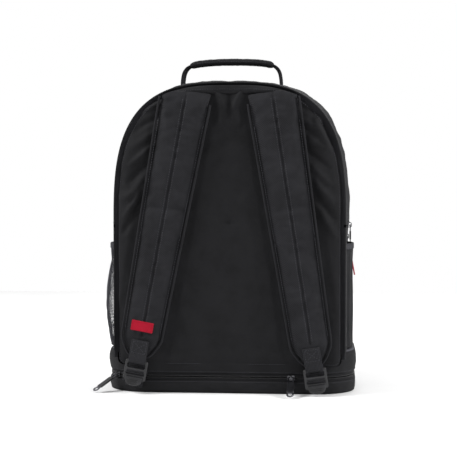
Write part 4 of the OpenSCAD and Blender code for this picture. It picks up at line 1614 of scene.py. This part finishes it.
@dataclass
class ShoulderStrap:
    """One padded strap, its sewn seams, its webbing and its ladder lock."""

    sewing: Sewing
    side: Side
    top_x: float
    end_x: float
    end_z: float
    tail: float
    low_half: float
    top_z: float = 446 * MM
    back_y: float = -101.2 * MM
    top_half: float = 39.5 * MM
    thickness: float = 10 * MM
    web: float = 26 * MM
    loop_y: float = -8.0 * MM
    loop_z: float = -4.2 * MM
    lock_width: float = 34 * MM
    lock_length: float = 27 * MM
    label: bool = False
    crease_at: float = 175 * MM
    binding_wave: float = 9 * MM
    crease_slant: float = 0.10
    channel_foot: float = 34 * MM
    end_half: float = 17 * MM

    def __post_init__(self) -> None:
        """Works out the strap's own frame: its end at the origin, +Z up along it."""
        self.who = self.side.name.lower()
        self.body = f"{self.who}_strap"
        run, rise = self.top_x - self.end_x, self.top_z - self.end_z
        self.length = math.hypot(run, rise)
        self.tilt = math.atan2(run, rise)
        self.place = move(self.end_x, self.back_y, self.end_z) @ turn(math.degrees(self.tilt), "Y")
        self.unplace = self.place.inverted()

    def half_width(self, z: float) -> float:
        """Gives half the strap's width at a distance from its end."""
        taper = clamp(z / self.channel_foot)
        bottom = self.end_half + (self.low_half - self.end_half) * (taper * taper * (3 - 2 * taper)) ** 0.8
        rise = clamp((z - self.channel_foot) / (self.length - 64 * MM))
        return bottom + (self.top_half - self.low_half) * rise ** 1.1

    def outline(self, inset: float, top: float, step: float) -> list[Vector]:
        """Follows the pad's edge from its top left, round its end, to its top right."""
        heights = [top - 6 * MM * k for k in range(math.ceil((top - 4 * MM) / (6 * MM)))]
        right = [(self.half_width(z) - inset, z) for z in heights]
        right += [(15 * MM - inset, 1.6 * MM + inset), (10 * MM, inset + 0.2 * MM)]
        points = [Vector((-x, 0, z)) for x, z in right] + [Vector((x, 0, z)) for x, z in reversed(right)]
        return even(points, step)

    def seam(self, at: float) -> float:
        """Gives how deep the middle seam pulls the pad in at a distance across it."""
        return 2.6 * MM * bell(at, 2.6 * MM)

    def pad(self) -> None:
        """Makes the padded strap: blown up, then sewn down its middle and creased across."""
        front = ((0.0, 5.6 * MM), (0.03, 7.4 * MM), (0.12, 8.0 * MM), (0.5, 8.0 * MM))
        rear = ((0.0, 4.4 * MM), (0.04, 1.6 * MM), (0.5, 1.6 * MM))
        piece = self.slab("strap_pad", front, rear)
        Pad(voxel=4.0 * MM, cap=2.4 * MM, pressure=5.0).blown(piece)
        for v in piece.data.vertices:
            p = v.co
            facing = clamp((-p.y - 5 * MM) / (2 * MM))
            groove = self.seam(p.x) * (1 if self.channel_foot < p.z < self.length + 20 * MM else 0.15)
            gap = self.half_width(p.z) - abs(p.x)
            brim = 1.5 * MM * bell(gap - 6 * MM, 1.3 * MM)
            off = p.z - (self.length - self.crease_at) - self.crease_slant * p.x
            fold = 2.4 * MM * bell(off, 4.5 * MM)
            slack = crease(Vector((p.x, 0, p.z + 2 * self.side.value)), 0.030, 4.4 * MM, 80.0, (1.8, 1, 1))
            slack += crease(Vector((p.x, 0, p.z)), 0.011, 1.2 * MM, 84.0, (1.5, 1, 1))
            p.y += facing * (groove + brim + fold * (1.0 if self.side is Side.LEFT else 0.6) - slack)
            thin = clamp((p.z - (self.length - 26 * MM)) / (26 * MM))
            p.y = max(-self.thickness - 1.6 * MM, p.y)
            p.y *= 1 - 0.45 * thin ** 2
            p.y = min(p.y, -0.1 * MM)
        piece.data.transform(self.place)
        crown = Arch.around("top_gusset")
        for v in piece.data.vertices:
            share = min(1.0, abs(v.co.x) / crown.half)
            edge = crown.bend + (crown.top - crown.bend) * (1 - share ** 3) ** (1 / 3)
            v.co.z = min(v.co.z, self.top_z + 0.5 * MM, edge - 6 * MM)
        piece.name = f"{self.who}_strap_pad"
        dress(piece, self.body, "strap_fabric", f"{self.who}_strap_cover", f"{self.who}_strap_foam")
        self.panel = piece

    def slab(self, name: str, front: Profile, rear: Profile) -> Object:
        """Makes the flat pad that is blown up, as rows of points across the strap."""
        across, first, step = 14, 1.5 * MM, 5 * MM
        rows = [first + step * k for k in range(math.ceil((self.length + 6 * MM - first) / step))]
        depth_out, depth_in = front[-1][1], rear[-1][1]
        points = []
        for z in rows:
            half = self.half_width(z) - 3 * MM
            shares = [2 * k / across - 1 for k in range(across + 1)]
            points += [Vector((half * share, -depth_out + 2.4 * MM * abs(share) ** 5, z)) for share in shares]
            points += [Vector((half * (1 - 2 * k / across), -depth_in, z)) for k in range(across + 1)]
        faces = tube_faces(len(rows), 2 * (across + 1))
        return make_piece(name, points, faces, STRAP_CLOTH.material(Follow.SPACE))

    def on_pad(self, x: float, z: float, lift: float = 0.15 * MM) -> Vector:
        """Finds a place on the pad's face, in the pack's frame."""
        p = self.place @ Vector((x, -0.06, z))
        hit, where, _, _ = self.panel.ray_cast(p, DEEP)
        return where + Vector((0, -lift, 0)) if hit else self.place @ Vector((x, -self.thickness, z))

    def trim(self) -> None:
        """Makes the edge binding and the rows of stitches."""
        edge = [self.place @ (p + Vector((0, -5.2 * MM, 0)))
                for p in self.outline(1.4 * MM, self.length - 14 * MM, 3 * MM)]
        flat = rounded_box(2.6 * MM, 5.6 * MM, 1.2 * MM, count=2)
        binding = sweep(f"{self.who}_strap_binding", edge, DEEP,
                        lambda run, p: [(a + 0.1 * MM * math.sin(run * math.tau / self.binding_wave), b)
                                        for a, b in flat],
                        BINDING_CLOTH.material())
        dress(binding, self.body, "strap_fabric")
        spans = [k * 3 * MM for k in range(13, int((self.length - 8 * MM) / (3 * MM)))]
        rows = [[self.on_pad(x, z) for z in spans] for x in (-3.2 * MM, 3.2 * MM)]
        rows += [[self.on_pad(s * (self.half_width(z) - 5.6 * MM), z) for z in spans] for s in (-1, 1)]
        self.sewing.sew(f"{self.who}_strap_stitches", rows, self.body, "strap_fabric")

    def webbing(self) -> None:
        """Makes the sewn patch and loop, the tail, and the lower webbing that feeds the ladder lock."""
        y, z = self.loop_y, self.loop_z
        wrap = 2.9 * MM
        side = [(-12.4 * MM, 28 * MM), (-12.6 * MM, 12 * MM), (-11.8 * MM, 0)]
        side += [(y - wrap * math.cos(a), z - wrap * math.sin(a)) for a in (math.pi * k / 6 for k in range(7))]
        side += [(y + wrap, z + 3 * MM), (y + wrap + 1 * MM, 1 * MM)]
        self.strip("webbing_loop", self.midway(side), self.body, f"{self.who}_strap_loop")
        box = rounded_box(self.web - 6 * MM, 17 * MM, 0.8 * MM, (0, 17 * MM), 2)
        lift = -12.4 * MM - 0.9 * MM
        rows = [[self.place @ Vector((x, lift, at)) for x, at in box + box[:1]]]
        w, h = (self.web - 8 * MM) / 2, 7.5 * MM
        rows += [[self.place @ Vector((w * t, lift, 17 * MM + s * h * t)) for t in (k / 4 - 1 for k in range(9))]
                 for s in (-1, 1)]
        self.sewing.sew(f"{self.who}_patch_stitches", rows, self.body, "webbing")
        lock_low = z - self.lock_length
        tail = [(y - 2.6 * MM, lock_low + 11 * MM), (y - 0.6 * MM, lock_low + 7.5 * MM),
                (y + 2.4 * MM, lock_low + 3 * MM), (-1.8 * MM, 8 * MM - self.tail), (-0.9 * MM, 1.2 * MM - self.tail),
                (0.4 * MM, 1.4 * MM - self.tail), (0.8 * MM, 8 * MM - self.tail), (0.8 * MM, 20 * MM),
                (0.6 * MM, 70 * MM)]
        self.strip("webbing_tail", self.midway(tail), self.body, f"{self.who}_webbing_tail", thickness=1.1 * MM)
        foot = self.unplace @ Vector((self.end_x, -96 * MM, 31 * MM))
        lower = [self.unplace @ Vector((self.end_x, at, height)) for at, height in (
            (-94.2 * MM, 31 * MM), (-98.6 * MM, 31.4 * MM), (-99.6 * MM, 35 * MM))]
        lower += self.midway([(-1.0 * MM, foot.z + 6 * MM), (y + 2.4 * MM, lock_low + 16.5 * MM),
                              (y - 1.0 * MM, lock_low + 15 * MM), (y - 2.7 * MM, lock_low + 12 * MM)])
        piece = self.strip("lower_webbing", lower, None, f"{self.who}_lower_webbing", thickness=1.1 * MM)
        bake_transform(piece)

    @staticmethod
    def midway(pairs: Profile) -> list[Vector]:
        """Gives points on the strap's middle plane from their depths and heights."""
        return [Vector((0, y, z)) for y, z in pairs]

    def strip(self, name: str, line: list[Vector], body: Optional[str], node: str,
              thickness: float = 1.5 * MM) -> Object:
        """Lays a strip of the harness webbing along a line in the strap's own frame."""
        path = [self.place @ p for p in curve_through(line, 1.6 * MM, rounds=2)]
        across = (self.place.to_3x3() @ RIGHT).normalized()
        piece = sweep(f"{self.who}_{name}", path, across, ribbon_section(self.web, thickness), WEBBING.material())
        if body:
            return dress(piece, body, "webbing", node)
        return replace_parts(piece, node) or piece

    def lock(self) -> None:
        """Makes the ladder lock: a rounded frame with two slots, a ridged tab and a round top bar."""
        stand = self.place @ move(0, self.loop_y, self.loop_z) @ turn(90, "X")
        w, h = self.lock_width, self.lock_length
        frame = rounded_box(w, h + 3 * MM, 3.5 * MM, (0, -h / 2 + 0.2 * MM), 5)
        holes = [rounded_box(w - 7 * MM, 6.6 * MM, 1.2 * MM, (0, -6.8 * MM), 3)[::-1],
                 rounded_box(w - 7 * MM, 3.4 * MM, 1.0 * MM, (0, -h * 0.68), 3)[::-1]]
        body = flat_part("lock_frame", [frame, *holes], 3.8 * MM, 1.0 * MM, stand, PLASTIC.material())
        tab_line = [(12.5 * MM, -h + 4 * MM)]
        tab_line += [(12.5 * MM * math.cos(a), -h - 1 * MM + 8 * MM * math.sin(a))
                     for a in (-math.pi * k / 12 for k in range(13))]
        tab_line += [(-12.5 * MM, -h + 4 * MM)]
        tip = stand @ move(0, 0, 1.6 * MM) @ turn(-7, "X")
        tab = flat_part("lock_tab", [tab_line], 2.6 * MM, 0.9 * MM, tip, PLASTIC.material())
        ridges = []
        for k in range(3):
            lift = tip @ move(0, -h + 0.5 * MM - 2.6 * MM * k, 1.4 * MM)
            ridges.append(flat_part("ridge", [rounded_box((18 - 3 * k) * MM, 1.2 * MM, 0.55 * MM, count=3)], 1.3 * MM,
                                    0.4 * MM, lift, PLASTIC.material()))
        bar_ends = [stand @ Vector((s * (w / 2 - 1.2 * MM), 0, 0)) for s in (-1, 1)]
        bar = sweep("lock_bar", even(bar_ends, 4 * MM), DEEP, lambda run, p: rod(1.6 * MM, 14),
                    PLASTIC.material())
        dress(joined(f"{self.who}_lock", [body, tab, *ridges, bar]), f"{self.who}_buckle", "buckle_plastic",
              f"{self.who}_ladder_lock")

    def red_label(self) -> None:
        """Makes the plain woven label, folded under at its edges and sewn flat."""
        width, height, middle = 33 * MM, 15 * MM, 48.5 * MM
        local = self.unplace @ self.on_pad(0, middle, 0.0)
        stand = self.place @ move(-1.5 * MM, -self.thickness - 1.2 * MM, local.z) @ turn(90, "X")
        tag = flat_part("strap_label_weave", [rounded_box(width, height, 1.0 * MM, count=3)], 1.6 * MM, 0.5 * MM,
                        stand, LABEL_CLOTH.material(Follow.SPACE))
        dress(tag, self.body, "red_label", "left_strap_label")
        box = rounded_box(width - 2.5 * MM, height - 2.5 * MM, 0.5 * MM, count=2)
        dress(self.sewing.stitches("strap_label_stitches", [stitch_box(stand, box, 1.0 * MM)],
                                   LABEL_CLOTH.material(Follow.SPACE)), self.body, "red_label")

    def build(self) -> None:
        """Builds the strap."""
        self.pad()
        self.trim()
        self.webbing()
        self.lock()
        if self.label:
            self.red_label()


# ------------------------------------------------------------------ sliders and pulls

class PullKind(Enum):
    """The two pulls used on the pack, by length."""

    SHORT = 34 * MM
    LONG = 46 * MM


@dataclass
class Fastener:
    """One zip slider with its pull.

    In the slider's own frame, +X points out of the pack and the chain runs along Z.
    """

    name: str
    slider_node: str
    pull_node: str
    slider_body: str
    pull_body: str
    place: Matrix
    kind: PullKind = PullKind.SHORT
    bail: float = 3.6 * MM
    across: bool = False
    drop: Optional[Matrix] = None
    inner_plate: bool = True
    length: float = 11 * MM
    width: float = 7.6 * MM
    plate: float = 1.2 * MM
    inside: float = 1.5 * MM
    pull_width: float = 9.4 * MM

    def shield(self, grow: float) -> list[tuple[float, float]]:
        """Gives the slider's outline: wide at its mouth and narrow at its tail."""
        a, b = self.width / 2 + grow, self.length / 2 + grow
        return [(-0.62 * a, -b), (0.62 * a, -b), (0.85 * a, -0.75 * b), (a, 0.3 * b), (a, 0.75 * b), (0.8 * a, b),
                (0.25 * a, b), (0, 0.82 * b), (-0.25 * a, b), (-0.8 * a, b), (-a, 0.75 * b), (-a, 0.3 * b),
                (-0.85 * a, -0.75 * b)]

    def slider(self) -> None:
        """Makes the slider: two shaped plates, the nose between them and a bail."""
        parts = []
        middle = self.inside + self.plate / 2
        for s in ((1, -1) if self.inner_plate else (1,)):
            put = self.place @ move(s * middle, 0, 0) @ UPRIGHT
            parts.append(flat_part("plate", [self.shield(0.0)], self.plate, 0.35 * MM, put, NICKEL.material()))
        if self.inner_plate:
            nose = [self.place @ Vector((x, 0, self.length / 2 - 1.6 * MM)) for x in (-self.inside, 0, self.inside)]
            parts.append(sweep("nose", nose, self.place.to_3x3() @ DEEP,
                               lambda run, p: rod(0.55 * MM, 9), NICKEL.material()))
        span = 2.9 * MM if self.across else 3.6 * MM
        base, peak = self.inside + self.plate - 0.2 * MM, self.inside + self.plate + self.bail + 0.7 * MM
        arc = [(base, -span), (peak - 1.4 * MM, -span), (peak - 0.2 * MM, -span * 0.72), (peak, 0),
               (peak - 0.2 * MM, span * 0.72), (peak - 1.4 * MM, span), (base, span)]
        line = [Vector((x, -z, 0) if self.across else (x, 0, z)) for x, z in arc]
        path = [self.place @ p for p in curve_through(line, 0.7 * MM, 2)]
        side = self.place.to_3x3() @ (UP if self.across else DEEP)
        parts.append(sweep("bail", path, side, lambda run, p: rounded_box(1.3 * MM, 2.0 * MM, 0.5 * MM, count=2),
                           NICKEL.material()))
        dress(joined(f"{self.name}_slider_cast", parts), self.slider_body, "slider_metal", self.slider_node)

    def pull(self) -> None:
        """Makes the pull: a stamped plate with a window and a ring, and a black sleeve moulded on it."""
        long, w = self.kind.value, self.pull_width
        hang = self.place @ move(self.inside + self.plate + self.bail - 1.2 * MM, 0, 0)
        stand = (self.drop or hang) @ UPRIGHT
        ring = 5.4 * MM
        outline = [(w / 2 - 1 * MM, 0.9 * MM), (-w / 2 + 1 * MM, 0.9 * MM), (-w / 2, 0),
                   (-w / 2 + 0.8 * MM, -long + 11 * MM)]
        outline += [(ring * math.cos(a), -long + ring + ring * math.sin(a))
                    for a in (math.radians(142 + 256 * k / 18) for k in range(19))]
        outline += [(w / 2 - 0.8 * MM, -long + 11 * MM), (w / 2, 0)]
        window = rounded_box(w - 3.8 * MM, 9.2 * MM, 0.9 * MM, (0, -5.6 * MM), 3)[::-1]
        hole = [(3.1 * MM * math.cos(a), -long + ring + 3.1 * MM * math.sin(a))
                for a in (-math.tau * k / 18 for k in range(18))]
        plate = flat_part("pull_plate", [outline, window, hole], 1.7 * MM, 0.35 * MM, stand, BRIGHT.material())
        top, low = -9.4 * MM, -long + 10.6 * MM
        sleeve = flat_part("pull_sleeve", [rounded_box(w + 1.0 * MM, top - low, 2.2 * MM, (0, (top + low) / 2), 4)],
                           2.7 * MM, 0.8 * MM, stand, ENAMEL.material())
        dress(joined(f"{self.name}_pull_stamping", [plate, sleeve]), self.pull_body, "pull_metal", self.pull_node)

    def tag(self, node: str) -> None:
        """Hangs a folded red ribbon, curling outwards, from the pull's ring.

        Args:
            node: the frame's node that it stands for.
        """
        low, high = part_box(node)
        x = (low.x + high.x) / 2
        y = (low.y + high.y) / 2
        top = high.z - 1.5 * MM
        line = [Vector((x, y, top)), Vector((x + 0.5 * MM, y, top - 3 * MM)),
                Vector((x + 2.5 * MM, y, (top + low.z) / 2)), Vector((x + 7.0 * MM, y, low.z + 1 * MM))]

        def section(run: float, p: Vector) -> list[tuple[float, float]]:
            """Gives the ribbon's section, gathered where it passes the ring."""
            share = clamp((top - 4 * MM - p.z) / (9 * MM))
            return rounded_box(1.3 * MM + 0.8 * MM * share, (3.6 + 8.2 * share) * MM, 0.5 * MM, count=2)

        ribbon = sweep(f"{self.name}_pull_ribbon", curve_through(line, 1.5 * MM, 2), DEEP, section,
                       LABEL_CLOTH.material())
        dress(ribbon, self.pull_body, "red_label", node)

    def build(self) -> None:
        """Builds the slider and its pull."""
        self.slider()
        self.pull()


@dataclass
class Fasteners:
    """All six sliders of the pack, each at its place on its zip."""

    main_x: float = 170.75 * MM
    main_y: float = 58 * MM
    base_z: float = 24 * MM
    corner: tuple[float, float] = (-126 * MM, -34 * MM)
    corner_reach: float = 58.75 * MM
    base_slider_x: float = 92 * MM
    base_wall_y: float = -92.75 * MM
    base_drop: float = 27.0
    main_sliders: tuple[tuple[str, float, float], ...] = (
        ("upper", 246 * MM, 7.9 * MM),
        ("lower", 228 * MM, 3.6 * MM),
    )
    racket_spot: tuple[float, float, float] = (150.75 * MM, 81.6 * MM, 236 * MM)
    accessory_z: float = 210 * MM

    def base_place(self, stand: Matrix) -> tuple[Matrix, Matrix]:
        """Gives the places of a base slider and of its pull, from a frame whose -Y points out."""
        facing = turn(-90, "X") @ turn(90, "Y")
        hang = move(0, -5.1 * MM, 0) @ turn(self.base_drop - 90, "X") @ turn(90, "Z")
        return stand @ facing, stand @ hang

    def build(self) -> None:
        """Builds every slider, pull and ribbon."""
        for which, z, bail in self.main_sliders:
            item = Fastener(f"main_{which}", f"main_slider_{which}", f"main_pull_{which}", f"main_{which}_slider",
                            f"main_{which}_pull", move(self.main_x, self.main_y, z), bail=bail)
            item.build()
            item.tag(f"main_tag_{which}")
        corner = move(*self.corner, self.base_z) @ turn(-45, "Z") @ move(0, -self.corner_reach, 0)
        right = move(self.base_slider_x, self.base_wall_y, self.base_z)
        for which, stand in (("left", corner), ("right", right)):
            place, hang = self.base_place(stand)
            Fastener(f"base_{which}", f"base_slider_{which}", f"base_pull_{which}", f"base_{which}_slider",
                     f"base_{which}_pull", place, PullKind.LONG, across=True, drop=hang).build()
        Fastener("racket", "racket_slider", "racket_pull", "racket_zip_slider", "racket_zip_pull",
                 move(*self.racket_spot)).build()
        low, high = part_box("accessory_slider")
        middle = (low.x + high.x) / 2
        place = move(middle, low.y - 1.5 * MM, self.accessory_z) @ UPRIGHT
        hang = move(middle, low.y + 3.6 * MM, self.accessory_z) @ turn(90, "Z")
        Fastener("accessory", "accessory_slider", "accessory_pull", "accessory_zip_slider", "accessory_zip_pull",
                 place, across=True, drop=hang, inner_plate=False).build()


# ------------------------------------------------------------------ studio

@dataclass(frozen=True)
class Lamp:
    """One square soft light, turned to the middle of the pack."""

    name: str
    spot: tuple[float, float, float]
    size: float
    power: float
    target: tuple[float, float, float] = (0.0, 0.0, 0.25)

    def hang(self) -> None:
        """Hangs the lamp in the scene."""
        lamp = bpy.data.lights.new(self.name, "AREA")
        lamp.size, lamp.energy = self.size, self.power
        stand = link(self.name, lamp)
        stand.location = self.spot
        stand.rotation_euler = (Vector(self.target) - Vector(self.spot)).to_track_quat("-Z", "Y").to_euler()


@dataclass
class Studio:
    """The camera, floor and soft light."""

    azimuth: float = 5.0
    distance: float = 1.80
    height: float = 0.30
    aim_height: float = 0.2445
    lens: float = 96.4
    floor_size: float = 3.4
    ambient: float = 0.5
    lamps: tuple[Lamp, ...] = (
        Lamp("key", (-1.7, -0.55, 1.7), 0.9, 52.0),
        Lamp("fill", (1.8, -0.5, 1.3), 1.1, 40.0),
        Lamp("rim", (0.3, 1.6, 1.7), 1.0, 16.0),
    )

    def camera(self) -> None:
        """Sets the camera a little to the right of the pack's back."""
        lens = bpy.data.cameras.new("studio_camera")
        lens.lens, lens.sensor_width, lens.clip_start = self.lens, 36.0, 0.05
        camera = link("studio_camera", lens)
        angle = math.radians(self.azimuth)
        target = Vector((0.0, -0.10, self.aim_height))
        camera.location = target + Vector((math.sin(angle), -math.cos(angle), 0)) * self.distance
        camera.location.z = self.height
        camera.rotation_euler = (target - camera.location).to_track_quat("-Z", "Y").to_euler()
        bpy.context.scene.camera = camera

    def floor(self) -> None:
        """Lays the pale floor."""
        finish = HardFinish("studio_floor", "f2f2f2", "f6f6f6", roughness=0.8, grain=0.02, scale=20)
        half = self.floor_size / 2
        corners = [Vector((x, y, -0.4 * MM)) for x, y in ((-half, -half), (half, -half), (half, half), (-half, half))]
        floor = make_piece("studio_floor", corners, [(0, 1, 2, 3)], finish.material())

    def light(self) -> None:
        """Hangs a large soft key light, a fill and a rim light in a white room."""
        world = bpy.data.worlds.new("studio_room")
        world.use_nodes = True
        room = world.node_tree.nodes["Background"]
        room.inputs["Color"].default_value = (1, 1, 1, 1)
        seen = add(world.node_tree, "ShaderNodeLightPath", {})
        glow = add(world.node_tree, "ShaderNodeMapRange", {"To Min": self.ambient, "To Max": 1.0},
                   {"Value": seen.outputs["Is Camera Ray"]})
        world.node_tree.links.new(glow.outputs[0], room.inputs["Strength"])
        bpy.context.scene.world = world
        bpy.context.scene.view_settings.view_transform = "Standard"
        for lamp in self.lamps:
            lamp.hang()

    def build(self) -> None:
        """Sets up the floor and the light."""
        self.floor()
        self.light()


def main() -> None:
    """Builds the pack in order."""
    logging.basicConfig(level=logging.INFO, format="%(message)s")
    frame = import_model()
    studio = Studio()
    studio.camera()
    sewing = Sewing()
    sub_assemblies = (
        PackShell(sewing),
        SidePocket(sewing, Side.LEFT, "mesh_pocket", "mesh_pocket_hem", netted=True),
        SidePocket(sewing, Side.RIGHT, "side_pocket", "side_pocket_hem", netted=False),
        Zips(sewing),
        BaseCompartment(sewing),
        FrontPanel(sewing),
        CarryHandle(sewing),
        ShoulderStrap(sewing, Side.LEFT, -61 * MM, -134 * MM, 52 * MM, 44 * MM, 32 * MM, label=True),
        ShoulderStrap(sewing, Side.RIGHT, 64 * MM, 126 * MM, 43 * MM, 36 * MM, 32 * MM),
        Fasteners(),
        studio,
    )
    for part in sub_assemblies:
        part.build()
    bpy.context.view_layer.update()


if __name__ == "__main__":
    main()
